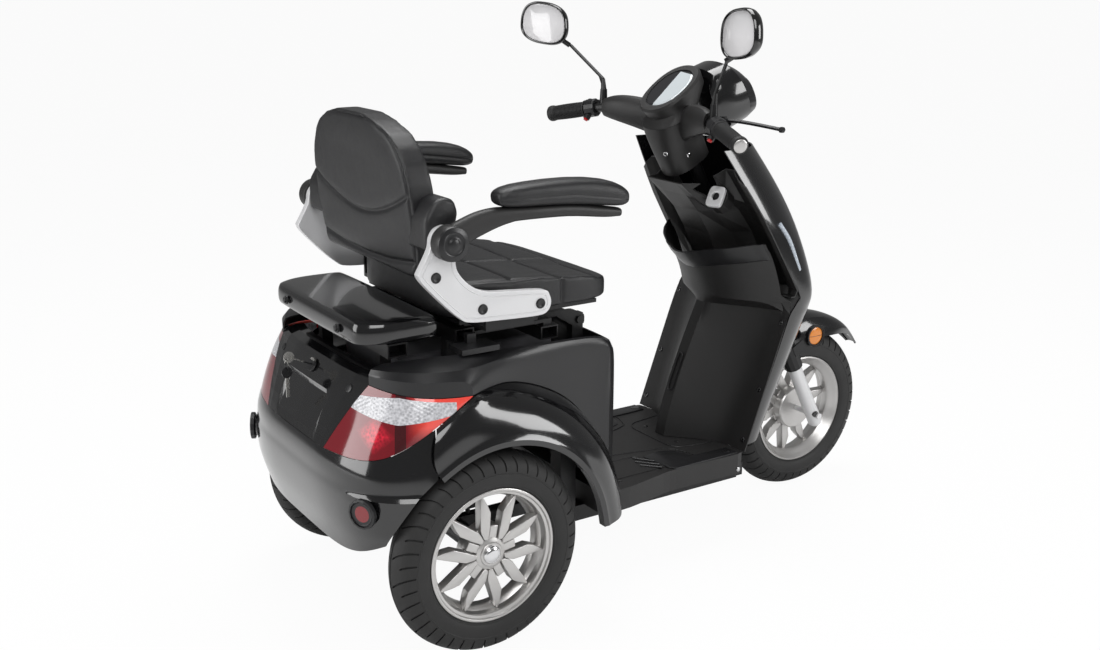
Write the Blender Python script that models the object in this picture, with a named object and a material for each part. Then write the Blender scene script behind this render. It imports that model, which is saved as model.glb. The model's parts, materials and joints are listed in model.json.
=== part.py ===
"""Three-wheeled electric moped with an armchair seat, modelled at its real size.

+X is forward, +Y is the rider's left and +Z is up. The origin lies on the ground under the middle of the
vehicle's length. Each object is one sub-part, and an empty stands on the axis of every joint.
"""

import math

import bmesh
import bpy
from mathutils import Matrix, Vector

# Wheels
TYRE_RADIUS = 0.213
TYRE_HALF_WIDTH = 0.042
RIM_RADIUS = 0.1405
RIM_HALF_WIDTH = 0.034
RIM_SPOKE_PAIRS = 5
WHEEL_SEGMENTS = 24
HUB_RADIUS = 0.062
AXLE_RADIUS = 0.008
WHEELBASE = 1.120
REAR_TRACK = 0.604
FRONT_AXLE_X = 0.594
REAR_AXLE_X = FRONT_AXLE_X - WHEELBASE

# Running clearances
GAP = 0.0003
BEARING_GAP = 0.0005
SHAFT_SIDES = 12

# Fork, in the steering frame: heights run along the steering axis from the front axle
FORK_RAKE = math.radians(28.5)
LEG_SPACING = 0.156
LEG_RADIUS = 0.0185
LEG_TOP = 0.215
SLEEVE_WALL = 0.004
SLEEVE_BOTTOM = 0.160
CROWN_HEIGHT = 0.290
CROWN_THICKNESS = 0.034
STANCHION_RADIUS = 0.0115
FORK_TRAVEL = 0.030
STEM_RADIUS = 0.016
HEAD_TUBE_RADIUS = 0.026
HEAD_TUBE_BOTTOM = 0.345
HEAD_TUBE_TOP = 0.500
CLAMP_HEIGHT = 0.860
MUDGUARD_RADIUS = 0.258
MUDGUARD_HALF_WIDTH = 0.060
MUDGUARD_SKIRT = 0.060
GUARD_STEP = 9.4
HOLDER_AHEAD = 0.073
HOLDER_HEIGHT = 0.2128
HOLDER_RADIUS = 0.029
HOLDER_DEPTH = 0.010
HOLDER_WALL = 0.002

# Handlebar
BAR_RADIUS = 0.011
BAR_STRAIGHT = 0.135
BAR_END_Y = 0.341
GRIP_RADIUS = 0.0165
GRIP_LENGTH = 0.108
POD_RADIUS = 0.022
POD_LENGTH = 0.028
BUTTON_RADIUS = 0.0055
BUTTON_SEAT = 0.023
BUTTON_TRAVEL = 0.002
PERCH_PLACE = 0.154
LEVER_BOSS = 0.006
LEVER_PIN_RADIUS = 0.004
LEVER_SHELF = 0.008
CABLE_RADIUS = 0.0032
MIRROR_HALF_WIDTH = 0.064
MIRROR_HALF_HEIGHT = 0.050
MIRROR_STEM_RADIUS = 0.0042
# Both measured from the middle of the handlebar's clamp
MIRROR_STEM_TOPS = {1: (-0.0976, 0.300, 0.171), -1: (-0.1336, -0.300, 0.171)}
MIRROR_CENTRES = {1: (-0.1486, 0.344, 0.225), -1: (-0.1406, -0.342, 0.231)}
MIRROR_YAW = {1: -20.0, -1: -10.0}
# Each mirror head's sections from its glass to its back: scale and depth
MIRROR_PROFILE = [(0.90, -0.001), (0.93, -0.004), (1.0, -0.003), (1.0, 0.005), (0.88, 0.018), (0.5, 0.028)]

# Sections of the handlebar's covers: rise from the clamp along the steering axis, centre, half length, half width
COVER_SECTIONS = [
    (-0.084, -0.020, 0.060, 0.044),
    (-0.038, -0.021, 0.061, 0.047),
    (0.008, -0.018, 0.063, 0.056),
    (0.040, -0.012, 0.064, 0.062),
]
WING_SECTIONS = [(0.20, 0.024, 0.040), (0.50, 0.023, 0.037), (0.75, 0.020, 0.031), (0.86, 0.016, 0.022)]
POD_SECTIONS = [(-0.030, 0.077, 0.064), (-0.006, 0.081, 0.067), (0.0, 0.078, 0.064), (0.0, 0.062, 0.053), (-0.006, 0.061, 0.052)]
# Sections of the headlight: ahead of the steering axis, rise from the clamp, half height, half width
COWL_SECTIONS = [(0.0615, 0.006, 0.070, 0.066), (0.100, 0.012, 0.084, 0.082), (0.148, 0.006, 0.080, 0.084)]
LAMP_SECTIONS = [(0.175, -0.006, 0.066, 0.074), (0.192, -0.020, 0.040, 0.048), (0.199, -0.028, 0.018, 0.024)]
POD_TILT = math.radians(37.5)
POD_PLACE = Vector((-0.0346, 0.0, 0.091))

# Floor and leg shield
PANEL_WALL = 0.003
NOSE_SEAM = 0.0048
FLOOR_TOP = 0.218
FLOOR_DEPTH = 0.050
FLOOR_FRONT = 0.252
FLOOR_BACK = -0.176
FLOOR_HALF_WIDTH = 0.200
FLOOR_REAR_HALF_WIDTH = 0.222
MAT_FRONT = 0.112
MAT_BACK = -0.118
MAT_HALF_WIDTH = 0.172
MAT_RISE = 0.002
SHIELD_HALF_WIDTH = 0.200
SHIELD_FOOT_X = 0.250
KNEE_Z = 0.570
KNEE_X = 0.378
POCKET_FOOT_Z = 0.562
POCKET_FLOOR_Z = 0.580
POCKET_HALF_WIDTH = 0.175
NECK_TOP = 0.845
EAR_TOP = 0.877
LEG_ROWS = 4
IGNITION = (0.228, -0.092, 0.812)
IGNITION_RADIUS = 0.020
BARREL_RADIUS = 0.007

# Frame
RAIL_Y = 0.130
RAIL_HALF = 0.020
RAIL_BOTTOM = 0.132
DECK_TOP = 0.460
DOWN_TUBE_FOOT = 0.276
FRAME_REAR = -0.700
PANEL_BOSSES = [(0.162, 0.549), (0.150, 0.335)]

# Rear body, along the ground from the rear axle
ARCH_CENTRE_X = 0.018
ARCH_CENTRE_Z = 0.205
ARCH_OPENING = 0.238
ARCH_LIP = 0.019
ARCH_HALF_WIDTH = 0.352
CORNER_CENTRE_X = 0.006
LIP_ANGLES = [3.0, 16.0, 30.0, 44.0, 57.0, 70.0, 84.0, 95.0, 105.0, 115.0, 125.0]
PANEL_LOW_Z = 0.430
PANEL_LOW_HALF_WIDTH = 0.142
PANEL_HIGH_HALF_WIDTH = 0.209
RECESS_DEPTH = 0.007
LAMP_TOP_Z = 0.564
LAMP_TIP_Z = 0.5475
LAMP_TIP_ANGLE = 87.0
LAMP_WALL = 0.006
LAMP_SEAM = 0.0008
LAMP_BULGE = 0.004
LAMP_SHARES = (0.0, 0.16, 0.32, 0.47, 0.62, 0.76, 0.88, 0.96, 1.0)
BUMPER_BOTTOM = 0.222
BUMPER_ARCH = 0.2455
SEAM_SHARE = 0.80
SEAM_FOOT_Z = 0.410
REFLECTOR_ANGLE = 37.0
REFLECTOR_Z = 0.339
REFLECTOR_RADIUS = 0.030
REFLECTOR_SET = 0.0006
LOCK_Z = 0.552
LOCK_RADIUS = 0.011
KEY_REACH = 0.056
KEY_HALF = 0.0012
KEY_RING = 0.0085
KEY_WIRE = 0.0010
KEY_HOLE = 0.0032
BOW_RADIUS = 0.0115
BATTERY_BACK = -0.620
BATTERY_FRONT = -0.245
BATTERY_HALF_WIDTH = 0.118
BATTERY_TOP = 0.575

# Rear axle and its swinging arms
AXLE_TUBE_RADIUS = 0.022
MOTOR_RADIUS = 0.070
SWING_LENGTH = 0.226
PIVOT_PIN_RADIUS = 0.010
SHOCK_Y = 0.190
SHOCK_OFFSET = 0.026
SHOCK_EYE_Z = 0.240
SHOCK_TOP_Z = 0.440
SHOCK_BORE = 0.0135
SHOCK_TUBE_BOTTOM = 0.335
SHOCK_ROD_TOP = 0.345
SPRING_RADIUS = 0.0235
SPRING_WIRE = 0.0035
SPRING_TURNS = 5
SPRING_FOOT = 0.268
SPRING_TOP = 0.405

# Seat
HINGE_X = 0.348
HINGE_Y = 0.120
HINGE_Z = 0.591
HINGE_TAB = 0.005
HINGE_PIN_RADIUS = 0.005
HUB_PIN_RADIUS = 0.006
CROSS_TUBE_X = [-0.307, -0.508, -0.657]
CROSS_TUBE_Z = [0.601, 0.626, 0.619]
CROSS_TUBE_WIDTH = 0.042
CROSS_TUBE_HEIGHT = 0.028
CROSS_TUBE_REACH = 0.200
RAIL_STRIP_Y = 0.182
PLATE_BACK = -0.745
PLATE_FRONT = -0.576
PLATE_HALF_WIDTH = 0.222
PLATE_BOTTOM = 0.641
PLATE_TOP = 0.682
SEAT_HALF_WIDTH = 0.235
SEAT_LENGTH = 0.430
SEAT_FRONT = 0.396
CUSHION_BOTTOM = 0.657
BACK_HUB_X = -0.067
BACK_HUB_Z = 0.840
BRACKET_OUTER_Y = 0.285
BRACKET_THICKNESS = 0.018
BACK_HALF_WIDTH = 0.230
BACK_TOP = 1.064
BACK_BOTTOM = 0.748
ARM_Y = 0.300

ARM_SECTIONS = [
    (-0.582, 0.852, 0.0205),
    (-0.560, 0.864, 0.0185),
    (-0.530, 0.8755, 0.0155),
    (-0.488, 0.8825, 0.0110),
    (-0.440, 0.8815, 0.0100),
    (-0.336, 0.8780, 0.0095),
    (-0.250, 0.8660, 0.0085),
    (-0.222, 0.8635, 0.0060),
]
PAD_SECTIONS = [
    (-0.500, 0.903, 0.925, 0.020),
    (-0.488, 0.894, 0.934, 0.029),
    (-0.440, 0.892, 0.939, 0.033),
    (-0.336, 0.888, 0.941, 0.034),
    (-0.250, 0.875, 0.930, 0.034),
    (-0.212, 0.870, 0.913, 0.031),
    (-0.200, 0.876, 0.901, 0.021),
]

AXLE_Z = TYRE_RADIUS * math.cos(math.pi / WHEEL_SEGMENTS)
FRONT_AXLE = Vector((FRONT_AXLE_X, 0.0, AXLE_Z))
REAR_AXLE = Vector((REAR_AXLE_X, 0.0, AXLE_Z))
STEER = Matrix.Translation(FRONT_AXLE) @ Matrix.Rotation(-FORK_RAKE, 4, "Y")
RAIL_TOP = FLOOR_TOP - FLOOR_DEPTH - GAP
FLOOR_BOTTOM = FLOOR_TOP - FLOOR_DEPTH
POST_X = REAR_AXLE_X + 0.306
PIVOT_X = REAR_AXLE_X + SWING_LENGTH
SHOCK_X = REAR_AXLE_X + SHOCK_OFFSET
ARCH_X = REAR_AXLE_X + ARCH_CENTRE_X
TAIL_CENTRE_X = REAR_AXLE_X + CORNER_CENTRE_X
SEAT_HINGE_X = REAR_AXLE_X + HINGE_X
SEAT_FRONT_X = REAR_AXLE_X + SEAT_FRONT
SEAT_REAR_X = SEAT_FRONT_X - SEAT_LENGTH
BACK_HUB = Vector((REAR_AXLE_X + BACK_HUB_X, 0.0, BACK_HUB_Z))

FINISHES = {
    "gloss_black": ((0.012, 0.012, 0.014), 0.12, 0.0),
    "satin_black": ((0.030, 0.030, 0.032), 0.45, 0.0),
    "matte_black": ((0.035, 0.034, 0.035), 0.60, 0.0),
    "frame_steel": ((0.020, 0.020, 0.022), 0.40, 0.3),
    "rubber": ((0.016, 0.016, 0.017), 0.80, 0.0),
    "silver_alloy": ((0.62, 0.60, 0.58), 0.35, 0.8),
    "silver_paint": ((0.60, 0.60, 0.60), 0.40, 0.3),
    "chrome": ((0.75, 0.75, 0.76), 0.10, 1.0),
    "leather": ((0.022, 0.022, 0.024), 0.50, 0.0),
    "red_lens": ((0.55, 0.01, 0.02), 0.12, 0.0),
    "clear_lens": ((0.75, 0.77, 0.80), 0.08, 0.0),
    "display": ((0.55, 0.57, 0.60), 0.15, 0.0),
    "red_button": ((0.60, 0.02, 0.02), 0.35, 0.0),
    "spring_orange": ((0.55, 0.20, 0.03), 0.40, 0.0),
    "battery_grey": ((0.08, 0.08, 0.09), 0.60, 0.0),
}


def clear_scene():
    for obj in list(bpy.data.objects):
        bpy.data.objects.remove(obj, do_unlink=True)


def make_material(name):
    colour, roughness, metallic = FINISHES[name]
    material = bpy.data.materials.new(name)
    material.use_nodes = True
    shader = material.node_tree.nodes["Principled BSDF"]
    shader.inputs["Base Color"].default_value = (*colour, 1.0)
    shader.inputs["Roughness"].default_value = roughness
    shader.inputs["Metallic"].default_value = metallic
    return material


MATERIALS = {}
PIVOTS = {}


def finish(name):
    if name not in MATERIALS:
        MATERIALS[name] = make_material(name)
    return MATERIALS[name]


def pivot(name, at, parent=None):
    """An empty on a joint's axis, which carries the objects that turn or slide there."""
    empty = bpy.data.objects.new(name, None)
    bpy.context.scene.collection.objects.link(empty)
    start = PIVOTS[parent][1] if parent else Vector()
    empty.location = Vector(at) - start
    if parent:
        empty.parent = PIVOTS[parent][0]
    PIVOTS[name] = (empty, Vector(at))


def add(name, bm, material, carrier):
    """Puts a mesh that was modelled in place under the empty that carries it."""
    empty, at = PIVOTS[carrier]
    bmesh.ops.translate(bm, vec=-at, verts=bm.verts)
    mesh = bpy.data.meshes.new(name)
    bm.to_mesh(mesh)
    bm.free()
    mesh.shade_smooth()
    mesh.set_sharp_from_angle(angle=math.radians(35))
    if material:
        mesh.materials.append(finish(material))
    obj = bpy.data.objects.new(name, mesh)
    obj.parent = empty
    bpy.context.scene.collection.objects.link(obj)
    return obj


def boolean(obj, bm, operation, carrier):
    """Joins a second shape to an object, or cuts it away."""
    helper = add(obj.name + "_" + operation.lower(), bm, None, carrier)
    helper.hide_render = True
    helper.display_type = "WIRE"
    modifier = obj.modifiers.new(operation.title(), "BOOLEAN")
    modifier.operation = operation
    modifier.solver = "EXACT"
    modifier.object = helper


def join(obj, bm, carrier):
    boolean(obj, bm, "UNION", carrier)


def cut(obj, bm, carrier):
    boolean(obj, bm, "DIFFERENCE", carrier)


def solidify(obj, thickness):
    modifier = obj.modifiers.new("Wall", "SOLIDIFY")
    modifier.thickness = thickness
    modifier.offset = -1.0
    modifier.use_even_offset = True


def soften(obj, width, segments=1):
    modifier = obj.modifiers.new("Edges", "BEVEL")
    modifier.width = width
    modifier.segments = segments
    modifier.limit_method = "ANGLE"
    modifier.angle_limit = math.radians(40)


def mix(a, b, share):
    return a + (b - a) * share


def smooth(share):
    share = min(max(share, 0.0), 1.0)
    return share * share * (3.0 - 2.0 * share)


def along(pairs, at):
    """Reads a smooth line through (place, value) pairs, held level past its ends."""
    if at <= pairs[0][0]:
        return pairs[0][1]
    for index in range(len(pairs) - 1):
        left, right = pairs[index], pairs[index + 1]
        if at <= right[0]:
            before = pairs[max(index - 1, 0)]
            after = pairs[min(index + 2, len(pairs) - 1)]
            span = right[0] - left[0]
            share = (at - left[0]) / span
            slope_in = (right[1] - before[1]) * (span / (right[0] - before[0]))
            slope_out = (after[1] - left[1]) * (span / (after[0] - left[0]))
            square, cube = share**2, share**3
            return (
                left[1] * (2 * cube - 3 * square + 1)
                + slope_in * (cube - 2 * square + share)
                + right[1] * (3 * square - 2 * cube)
                + slope_out * (cube - square)
            )
    return pairs[-1][1]


def through(points, share):
    """A place on a smooth line through evenly spaced points."""
    pairs = [(index / (len(points) - 1), Vector(p)) for index, p in enumerate(points)]
    return along(pairs, share)


def spread(low, high, count):
    return [mix(low, high, index / (count - 1)) for index in range(count)]


def polar(radius, degrees):
    return radius * math.cos(math.radians(degrees)), radius * math.sin(math.radians(degrees))


def superellipse(half_a, half_b, power, count):
    """A closed outline between an ellipse and a rectangle."""
    outline = []
    for index in range(count):
        turn = 2 * math.pi * (index + 0.5) / count
        c, s = math.cos(turn), math.sin(turn)
        outline.append(
            (
                half_a * math.copysign(abs(c) ** (2 / power), c),
                half_b * math.copysign(abs(s) ** (2 / power), s),
            )
        )
    return outline


def ring_faces(bm, first, second, closed):
    count = len(first)
    for index in range(count if closed else count - 1):
        after = (index + 1) % count
        bm.faces.new((first[index], first[after], second[after], second[index]))


def loft(rings, caps=True):
    """A skin through closed rings of equally many points, capped at both ends."""
    bm = bmesh.new()
    rows = [[bm.verts.new(point) for point in ring] for ring in rings]
    for first, second in zip(rows, rows[1:]):
        ring_faces(bm, first, second, True)
    if caps:
        bm.faces.new(rows[0])
        bm.faces.new(rows[-1])
    bmesh.ops.recalc_face_normals(bm, faces=bm.faces)
    return bm


def sheet(name, rows, thickness, material, carrier, inside):
    """A moulded panel: an open skin, given its wall on the side of the point called inside."""
    bm = bmesh.new()
    verts = [[bm.verts.new(point) for point in row] for row in rows]
    for first, second in zip(verts, verts[1:]):
        ring_faces(bm, first, second, False)
    bm.normal_update()
    facing = sum(
        face.normal.dot(face.calc_center_median() - Vector(inside)) * face.calc_area()
        for face in bm.faces
    )
    if facing < 0:
        bmesh.ops.reverse_faces(bm, faces=bm.faces)
    obj = add(name, bm, material, carrier)
    solidify(obj, thickness)
    return obj


def turned(profile, segments, frame=None):
    """A closed profile of (radius, height) points, turned about Z, then moved by frame."""
    bm = bmesh.new()
    verts = [bm.verts.new((radius, 0.0, height)) for radius, height in profile]
    edges = [bm.edges.new((verts[i - 1], verts[i])) for i in range(len(verts))]
    edges = [e for e in edges if max(v.co.x for v in e.verts) > 0.0]
    bmesh.ops.spin(
        bm, geom=verts + edges, cent=(0, 0, 0), axis=(0, 0, 1), angle=2 * math.pi, steps=segments
    )
    bmesh.ops.remove_doubles(bm, verts=bm.verts, dist=1e-6)
    loose = [v for v in bm.verts if not v.link_faces]
    bmesh.ops.delete(bm, geom=loose, context="VERTS")
    bmesh.ops.recalc_face_normals(bm, faces=bm.faces)
    if frame:
        bmesh.ops.transform(bm, matrix=frame, verts=bm.verts)
    return bm


def rod(start, end, radius, sides=16, end_radius=None):
    """A round bar between two points."""
    start, end = Vector(start), Vector(end)
    turn = (end - start).to_track_quat("Z", "Y").to_matrix().to_4x4()
    profile = [(0, 0), (radius, 0), (end_radius or radius, (end - start).length)]
    profile.append((0, (end - start).length))
    return turned(profile, sides, Matrix.Translation(start) @ turn)


def pipe(points, radius, sides=8):
    """A round bar that follows a line of points."""
    points = [Vector(p) for p in points]
    rings = []
    normal = None
    for index, point in enumerate(points):
        ahead = points[min(index + 1, len(points) - 1)] - points[max(index - 1, 0)]
        ahead.normalize()
        if normal is None:
            normal = ahead.orthogonal().normalized()
        normal = (normal - ahead * normal.dot(ahead)).normalized()
        side = ahead.cross(normal)
        turns = [2 * math.pi * k / sides for k in range(sides)]
        rings.append(
            [point + (normal * math.cos(t) + side * math.sin(t)) * radius for t in turns]
        )
    return loft(rings)


def tube(name, points, radius, fineness, material, carrier):
    """A wire or cord as a round tube on a line of points, capped at both ends."""
    empty, at = PIVOTS[carrier]
    curve = bpy.data.curves.new(name, "CURVE")
    curve.dimensions = "3D"
    curve.bevel_depth = radius
    curve.bevel_resolution = fineness
    curve.use_fill_caps = True
    spline = curve.splines.new("POLY")
    spline.points.add(len(points) - 1)
    for knot, place in zip(spline.points, points):
        knot.co = (*(Vector(place) - at), 1.0)
    curve.materials.append(finish(material))
    obj = bpy.data.objects.new(name, curve)
    obj.parent = empty
    bpy.context.scene.collection.objects.link(obj)


def box(low, high):
    bm = bmesh.new()
    bmesh.ops.create_cube(bm, size=1.0)
    low, high = Vector(low), Vector(high)
    bmesh.ops.scale(bm, vec=high - low, verts=bm.verts)
    bmesh.ops.translate(bm, vec=(low + high) / 2, verts=bm.verts)
    return bm


def prism(outline, low, high, axis):
    """An outline pulled along a world axis. Its points are the other two coordinates in order."""
    slot = "XYZ".index(axis)
    rings = []
    for level in (low, high):
        ring = []
        for a, b in outline:
            point = [a, b]
            point.insert(slot, level)
            ring.append(point)
        rings.append(ring)
    return loft(rings)


def together(*parts):
    """Several meshes that don't touch, in one."""
    bm = bmesh.new()
    for part in parts:
        mesh = bpy.data.meshes.new("piece")
        part.to_mesh(mesh)
        part.free()
        bm.from_mesh(mesh)
        bpy.data.meshes.remove(mesh)
    return bm


def moved(bm, frame):
    bmesh.ops.transform(bm, matrix=frame, verts=bm.verts)
    return bm


def rounded(outline, radius, steps=2):
    """The outline with each corner replaced by a short arc."""
    result = []
    count = len(outline)
    for index in range(count):
        corner = Vector(outline[index])
        back = Vector(outline[index - 1]) - corner
        ahead = Vector(outline[(index + 1) % count]) - corner
        reach = min(radius, 0.45 * back.length, 0.45 * ahead.length)
        start = corner + back.normalized() * reach
        end = corner + ahead.normalized() * reach
        for step in range(steps + 1):
            share = step / steps
            bend = start * (1 - share) ** 2 + corner * 2 * share * (1 - share) + end * share**2
            result.append(tuple(bend))
    return result


def steer_point(height, ahead=0.0, side=0.0):
    return STEER @ Vector((ahead, side, height))


def bore(radius):
    """The radius at which a round hole of flat facets clears a turning shaft."""
    return (radius + BEARING_GAP) / math.cos(math.pi / SHAFT_SIDES)


# Wheels


def tyre_section():
    half, crown = TYRE_HALF_WIDTH, TYRE_RADIUS
    seat = RIM_RADIUS - 0.0113
    outer = [
        (seat, 0.68 * half),
        (mix(RIM_RADIUS, crown, 0.44), half),
        (crown - 0.014, 0.89 * half),
        (crown, 0.38 * half),
    ]
    inner = [(seat, 0.45 * half)]
    profile = outer + [(r, -y) for r, y in reversed(outer)]
    profile += [(r, -y) for r, y in inner] + [(crown - 0.0095, 0.0)] + list(reversed(inner))
    return profile


def barrel_section():
    half = RIM_HALF_WIDTH
    seat, well = RIM_RADIUS - 0.012, RIM_RADIUS - 0.017
    outer = [(RIM_RADIUS, half), (seat, half - 0.004), (well, 0.010)]
    inner = [(RIM_RADIUS - 0.007, half), (well - 0.0035, half - 0.005)]
    profile = outer + [(r, -y) for r, y in reversed(outer)]
    return profile + [(r, -y) for r, y in inner] + list(reversed(inner))


def spoke_outline():
    """One blade, as (angle from the middle of its pair, radius): a smooth side and a kinked one."""
    tip = RIM_RADIUS - 0.0187
    return [(11.5, 0.026), (15.3, tip), (17.3, tip), (22.4, 0.093), (20.5, 0.066), (31.0, 0.026)]


def blade_ring():
    """Every blade of a wheel, in pairs that mirror each other."""
    blades = []
    for pair in range(RIM_SPOKE_PAIRS):
        middle = 90.0 + 360.0 * pair / RIM_SPOKE_PAIRS
        for hand in (-1, 1):
            outline = [polar(radius, middle + hand * angle) for angle, radius in spoke_outline()]
            blades.append(prism(outline, 0.004, 0.026, "Y"))
    return together(*blades)


def hub_section(through_axle):
    """The drum hub with its cap and the brake disc's flange on the inner side."""
    half = RIM_HALF_WIDTH
    hole = bore(AXLE_RADIUS)
    profile = [(hole, -half), (0.075, -half), (0.075, -half + 0.004), (HUB_RADIUS, -half + 0.006)]
    profile += [(HUB_RADIUS, 0.007), (0.031, 0.011), (0.030, 0.029)]
    if through_axle:
        return profile + [(0.018, half), (hole, half)]
    return profile + [(0.017, 0.036), (0, 0.038), (0, 0.014), (hole, 0.014)]


def add_wheel(tag, centre, side, carrier, through_axle):
    """A tyre on its cast rim. side is the direction along Y that the rim's face looks."""
    frame = Matrix.Translation(centre) @ Matrix.Rotation(0.0 if side > 0 else math.pi, 4, "Z")
    about_y = frame @ Matrix.Rotation(-math.pi / 2, 4, "X")
    flat_down = about_y @ Matrix.Rotation(math.pi / 2 + math.pi / WHEEL_SEGMENTS, 4, "Z")
    add(tag + "_tyre", turned(tyre_section(), WHEEL_SEGMENTS, flat_down), "rubber", carrier)
    rim = add(tag + "_rim", turned(barrel_section(), WHEEL_SEGMENTS, flat_down), "silver_alloy", carrier)
    join(rim, moved(blade_ring(), frame), carrier)
    join(rim, turned(hub_section(through_axle), SHAFT_SIDES, about_y), carrier)


# Fork and front mudguard


def build_fork():
    crown = prism(
        rounded([(-0.032, -0.104), (0.032, -0.104), (0.036, 0.0), (0.032, 0.104), (-0.032, 0.104)], 0.02),
        CROWN_HEIGHT,
        CROWN_HEIGHT + CROWN_THICKNESS,
        "Z",
    )
    fork = add("fork_upper", moved(crown, STEER), "satin_black", "steering")
    sleeve_radius = LEG_RADIUS + BEARING_GAP + SLEEVE_WALL
    for side in (-1, 1):
        place = STEER @ Matrix.Translation((0, side * LEG_SPACING / 2, 0))
        inner = LEG_RADIUS + BEARING_GAP
        sleeve = [
            (inner, SLEEVE_BOTTOM),
            (sleeve_radius, SLEEVE_BOTTOM),
            (sleeve_radius, CROWN_HEIGHT + 0.004),
            (STANCHION_RADIUS - 0.002, CROWN_HEIGHT + 0.004),
            (STANCHION_RADIUS - 0.002, CROWN_HEIGHT - 0.006),
            (inner, CROWN_HEIGHT - 0.006),
        ]
        join(fork, turned(sleeve, 12, place), "steering")
        stanchion = [(0, 0.075), (STANCHION_RADIUS, 0.075), (STANCHION_RADIUS, CROWN_HEIGHT + 0.006), (0, CROWN_HEIGHT + 0.006)]
        join(fork, turned(stanchion, 12, place), "steering")
    stem = [(0, CROWN_HEIGHT + 0.02), (STEM_RADIUS, CROWN_HEIGHT + 0.02), (STEM_RADIUS, CLAMP_HEIGHT - 0.020)]
    stem.append((0, CLAMP_HEIGHT - 0.020))
    join(fork, turned(stem, SHAFT_SIDES, STEER), "steering")
    boss = box((-0.012, -0.020, MUDGUARD_RADIUS + GAP), (0.012, 0.020, CROWN_HEIGHT + 0.002))
    join(fork, moved(boss, STEER), "steering")
    build_reflector_holders(fork)

    lower = None
    for side in (-1, 1):
        place = STEER @ Matrix.Translation((0, side * LEG_SPACING / 2, 0))
        hole = STANCHION_RADIUS + 2 * BEARING_GAP
        leg = [
            (0, -0.034),
            (LEG_RADIUS * 0.7, -0.034),
            (LEG_RADIUS, -0.026),
            (LEG_RADIUS, LEG_TOP),
            (hole, LEG_TOP),
            (hole, 0.040),
            (0, 0.040),
        ]
        if lower:
            join(lower, turned(leg, 12, place), "fork_slide")
        else:
            lower = add("fork_lower", turned(leg, 12, place), "silver_paint", "fork_slide")
    reach = LEG_SPACING / 2 + LEG_RADIUS
    start = FRONT_AXLE - Vector((0, reach + 0.008, 0))
    join(lower, rod(start, FRONT_AXLE + Vector((0, reach + 0.008, 0)), AXLE_RADIUS, SHAFT_SIDES), "fork_slide")


def build_mudguard():
    """A curved guard over the wheel, drawn to a beak in front and narrower between the fork's legs."""
    axis_angle = 90.0 + math.degrees(FORK_RAKE)
    angles = [axis_angle + GUARD_STEP * k for k in range(-9, 2)]
    rows = []
    for degrees in angles:
        share = (degrees - angles[0]) / (angles[-1] - angles[0])
        half = mix(0.018, MUDGUARD_HALF_WIDTH, smooth(share * 2.6))
        half = mix(half, LEG_SPACING / 2 - LEG_RADIUS - 0.009, smooth((degrees - 98.0) / 10.0))
        drop = mix(0.008, MUDGUARD_SKIRT, smooth(share * 1.9))
        row = []
        for step in spread(-1.0, 1.0, 9):
            turn = step * math.pi / 2
            radius = MUDGUARD_RADIUS - drop * (1 - math.cos(turn)) ** 1.5
            x, z = polar(radius, degrees)
            row.append(FRONT_AXLE + Vector((x, half * math.sin(turn), z)))
        rows.append(row)
    sheet("front_mudguard", rows, PANEL_WALL, "gloss_black", "steering", FRONT_AXLE)


def build_reflector_holders(fork):
    """A strap on each sleeve of the fork reaches forward to a round dish for the side reflector."""
    face = LEG_SPACING / 2 + LEG_RADIUS + BEARING_GAP + SLEEVE_WALL
    for side in (-1, 1):
        ends = sorted((side * (face - 0.0025), side * (face + HOLDER_WALL)))
        strap = box((0.0, ends[0], HOLDER_HEIGHT - 0.014), (HOLDER_AHEAD, ends[1], HOLDER_HEIGHT + 0.014))
        join(fork, moved(strap, STEER), "steering")
        middle = steer_point(HOLDER_HEIGHT, HOLDER_AHEAD, side * face)
        dish = [(0, 0), (HOLDER_RADIUS - 0.003, 0), (HOLDER_RADIUS, 0.003), (HOLDER_RADIUS, HOLDER_DEPTH)]
        dish += [(HOLDER_RADIUS - 0.002, HOLDER_DEPTH), (HOLDER_RADIUS - 0.002, 0.006), (0, 0.006)]
        about_y = Matrix.Translation(middle) @ Matrix.Rotation(-side * math.pi / 2, 4, "X")
        join(fork, turned(dish, 14, about_y), "steering")


# Handlebar and its fittings

CLAMP = steer_point(CLAMP_HEIGHT)
POD_FRAME = Matrix.Translation(CLAMP + POD_PLACE) @ Matrix.Rotation(-POD_TILT, 4, "Y")
BAR_BENDS = [Vector((-0.024, 0.060, 0.016)), Vector((-0.059, 0.140, 0.034))]
BAR_KNEE = Vector((-0.081, 0.215, 0.029))
BAR_END = Vector((-0.124, BAR_END_Y, 0.005))


def sided(vector, side):
    return Vector((vector.x, vector.y * side, vector.z))


def bar_direction(side):
    return sided((BAR_END - BAR_KNEE).normalized(), side)


def bar_place(side, distance):
    """A place on the straight outer run of the bar, measured in from its end."""
    return CLAMP + sided(BAR_END, side) - bar_direction(side) * distance


def along_bar(side, distance):
    """A frame on the bar whose Z runs out along it, this far in from its end."""
    turn = bar_direction(side).to_track_quat("Z", "Y").to_matrix().to_4x4()
    return Matrix.Translation(bar_place(side, distance)) @ turn


def bar_line():
    """The bar's middle line from its right end to its left end."""
    bends = [CLAMP] + [CLAMP + bend for bend in BAR_BENDS] + [bar_place(1, BAR_STRAIGHT)]
    half = [through(bends, share) for share in spread(0.0, 1.0, 7)] + [bar_place(1, 0.0)]
    return [sided(point, -1) for point in reversed(half[1:])] + half


def lever_pin(side):
    return bar_place(side, PERCH_PLACE) + Vector((0.030, 0.0, 0.004))


def mirror_boss(side):
    return bar_place(side, PERCH_PLACE) + Vector((0.003, 0.0, 0.041))


def mirror_top(side):
    return CLAMP + Vector(MIRROR_STEM_TOPS[side])


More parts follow.
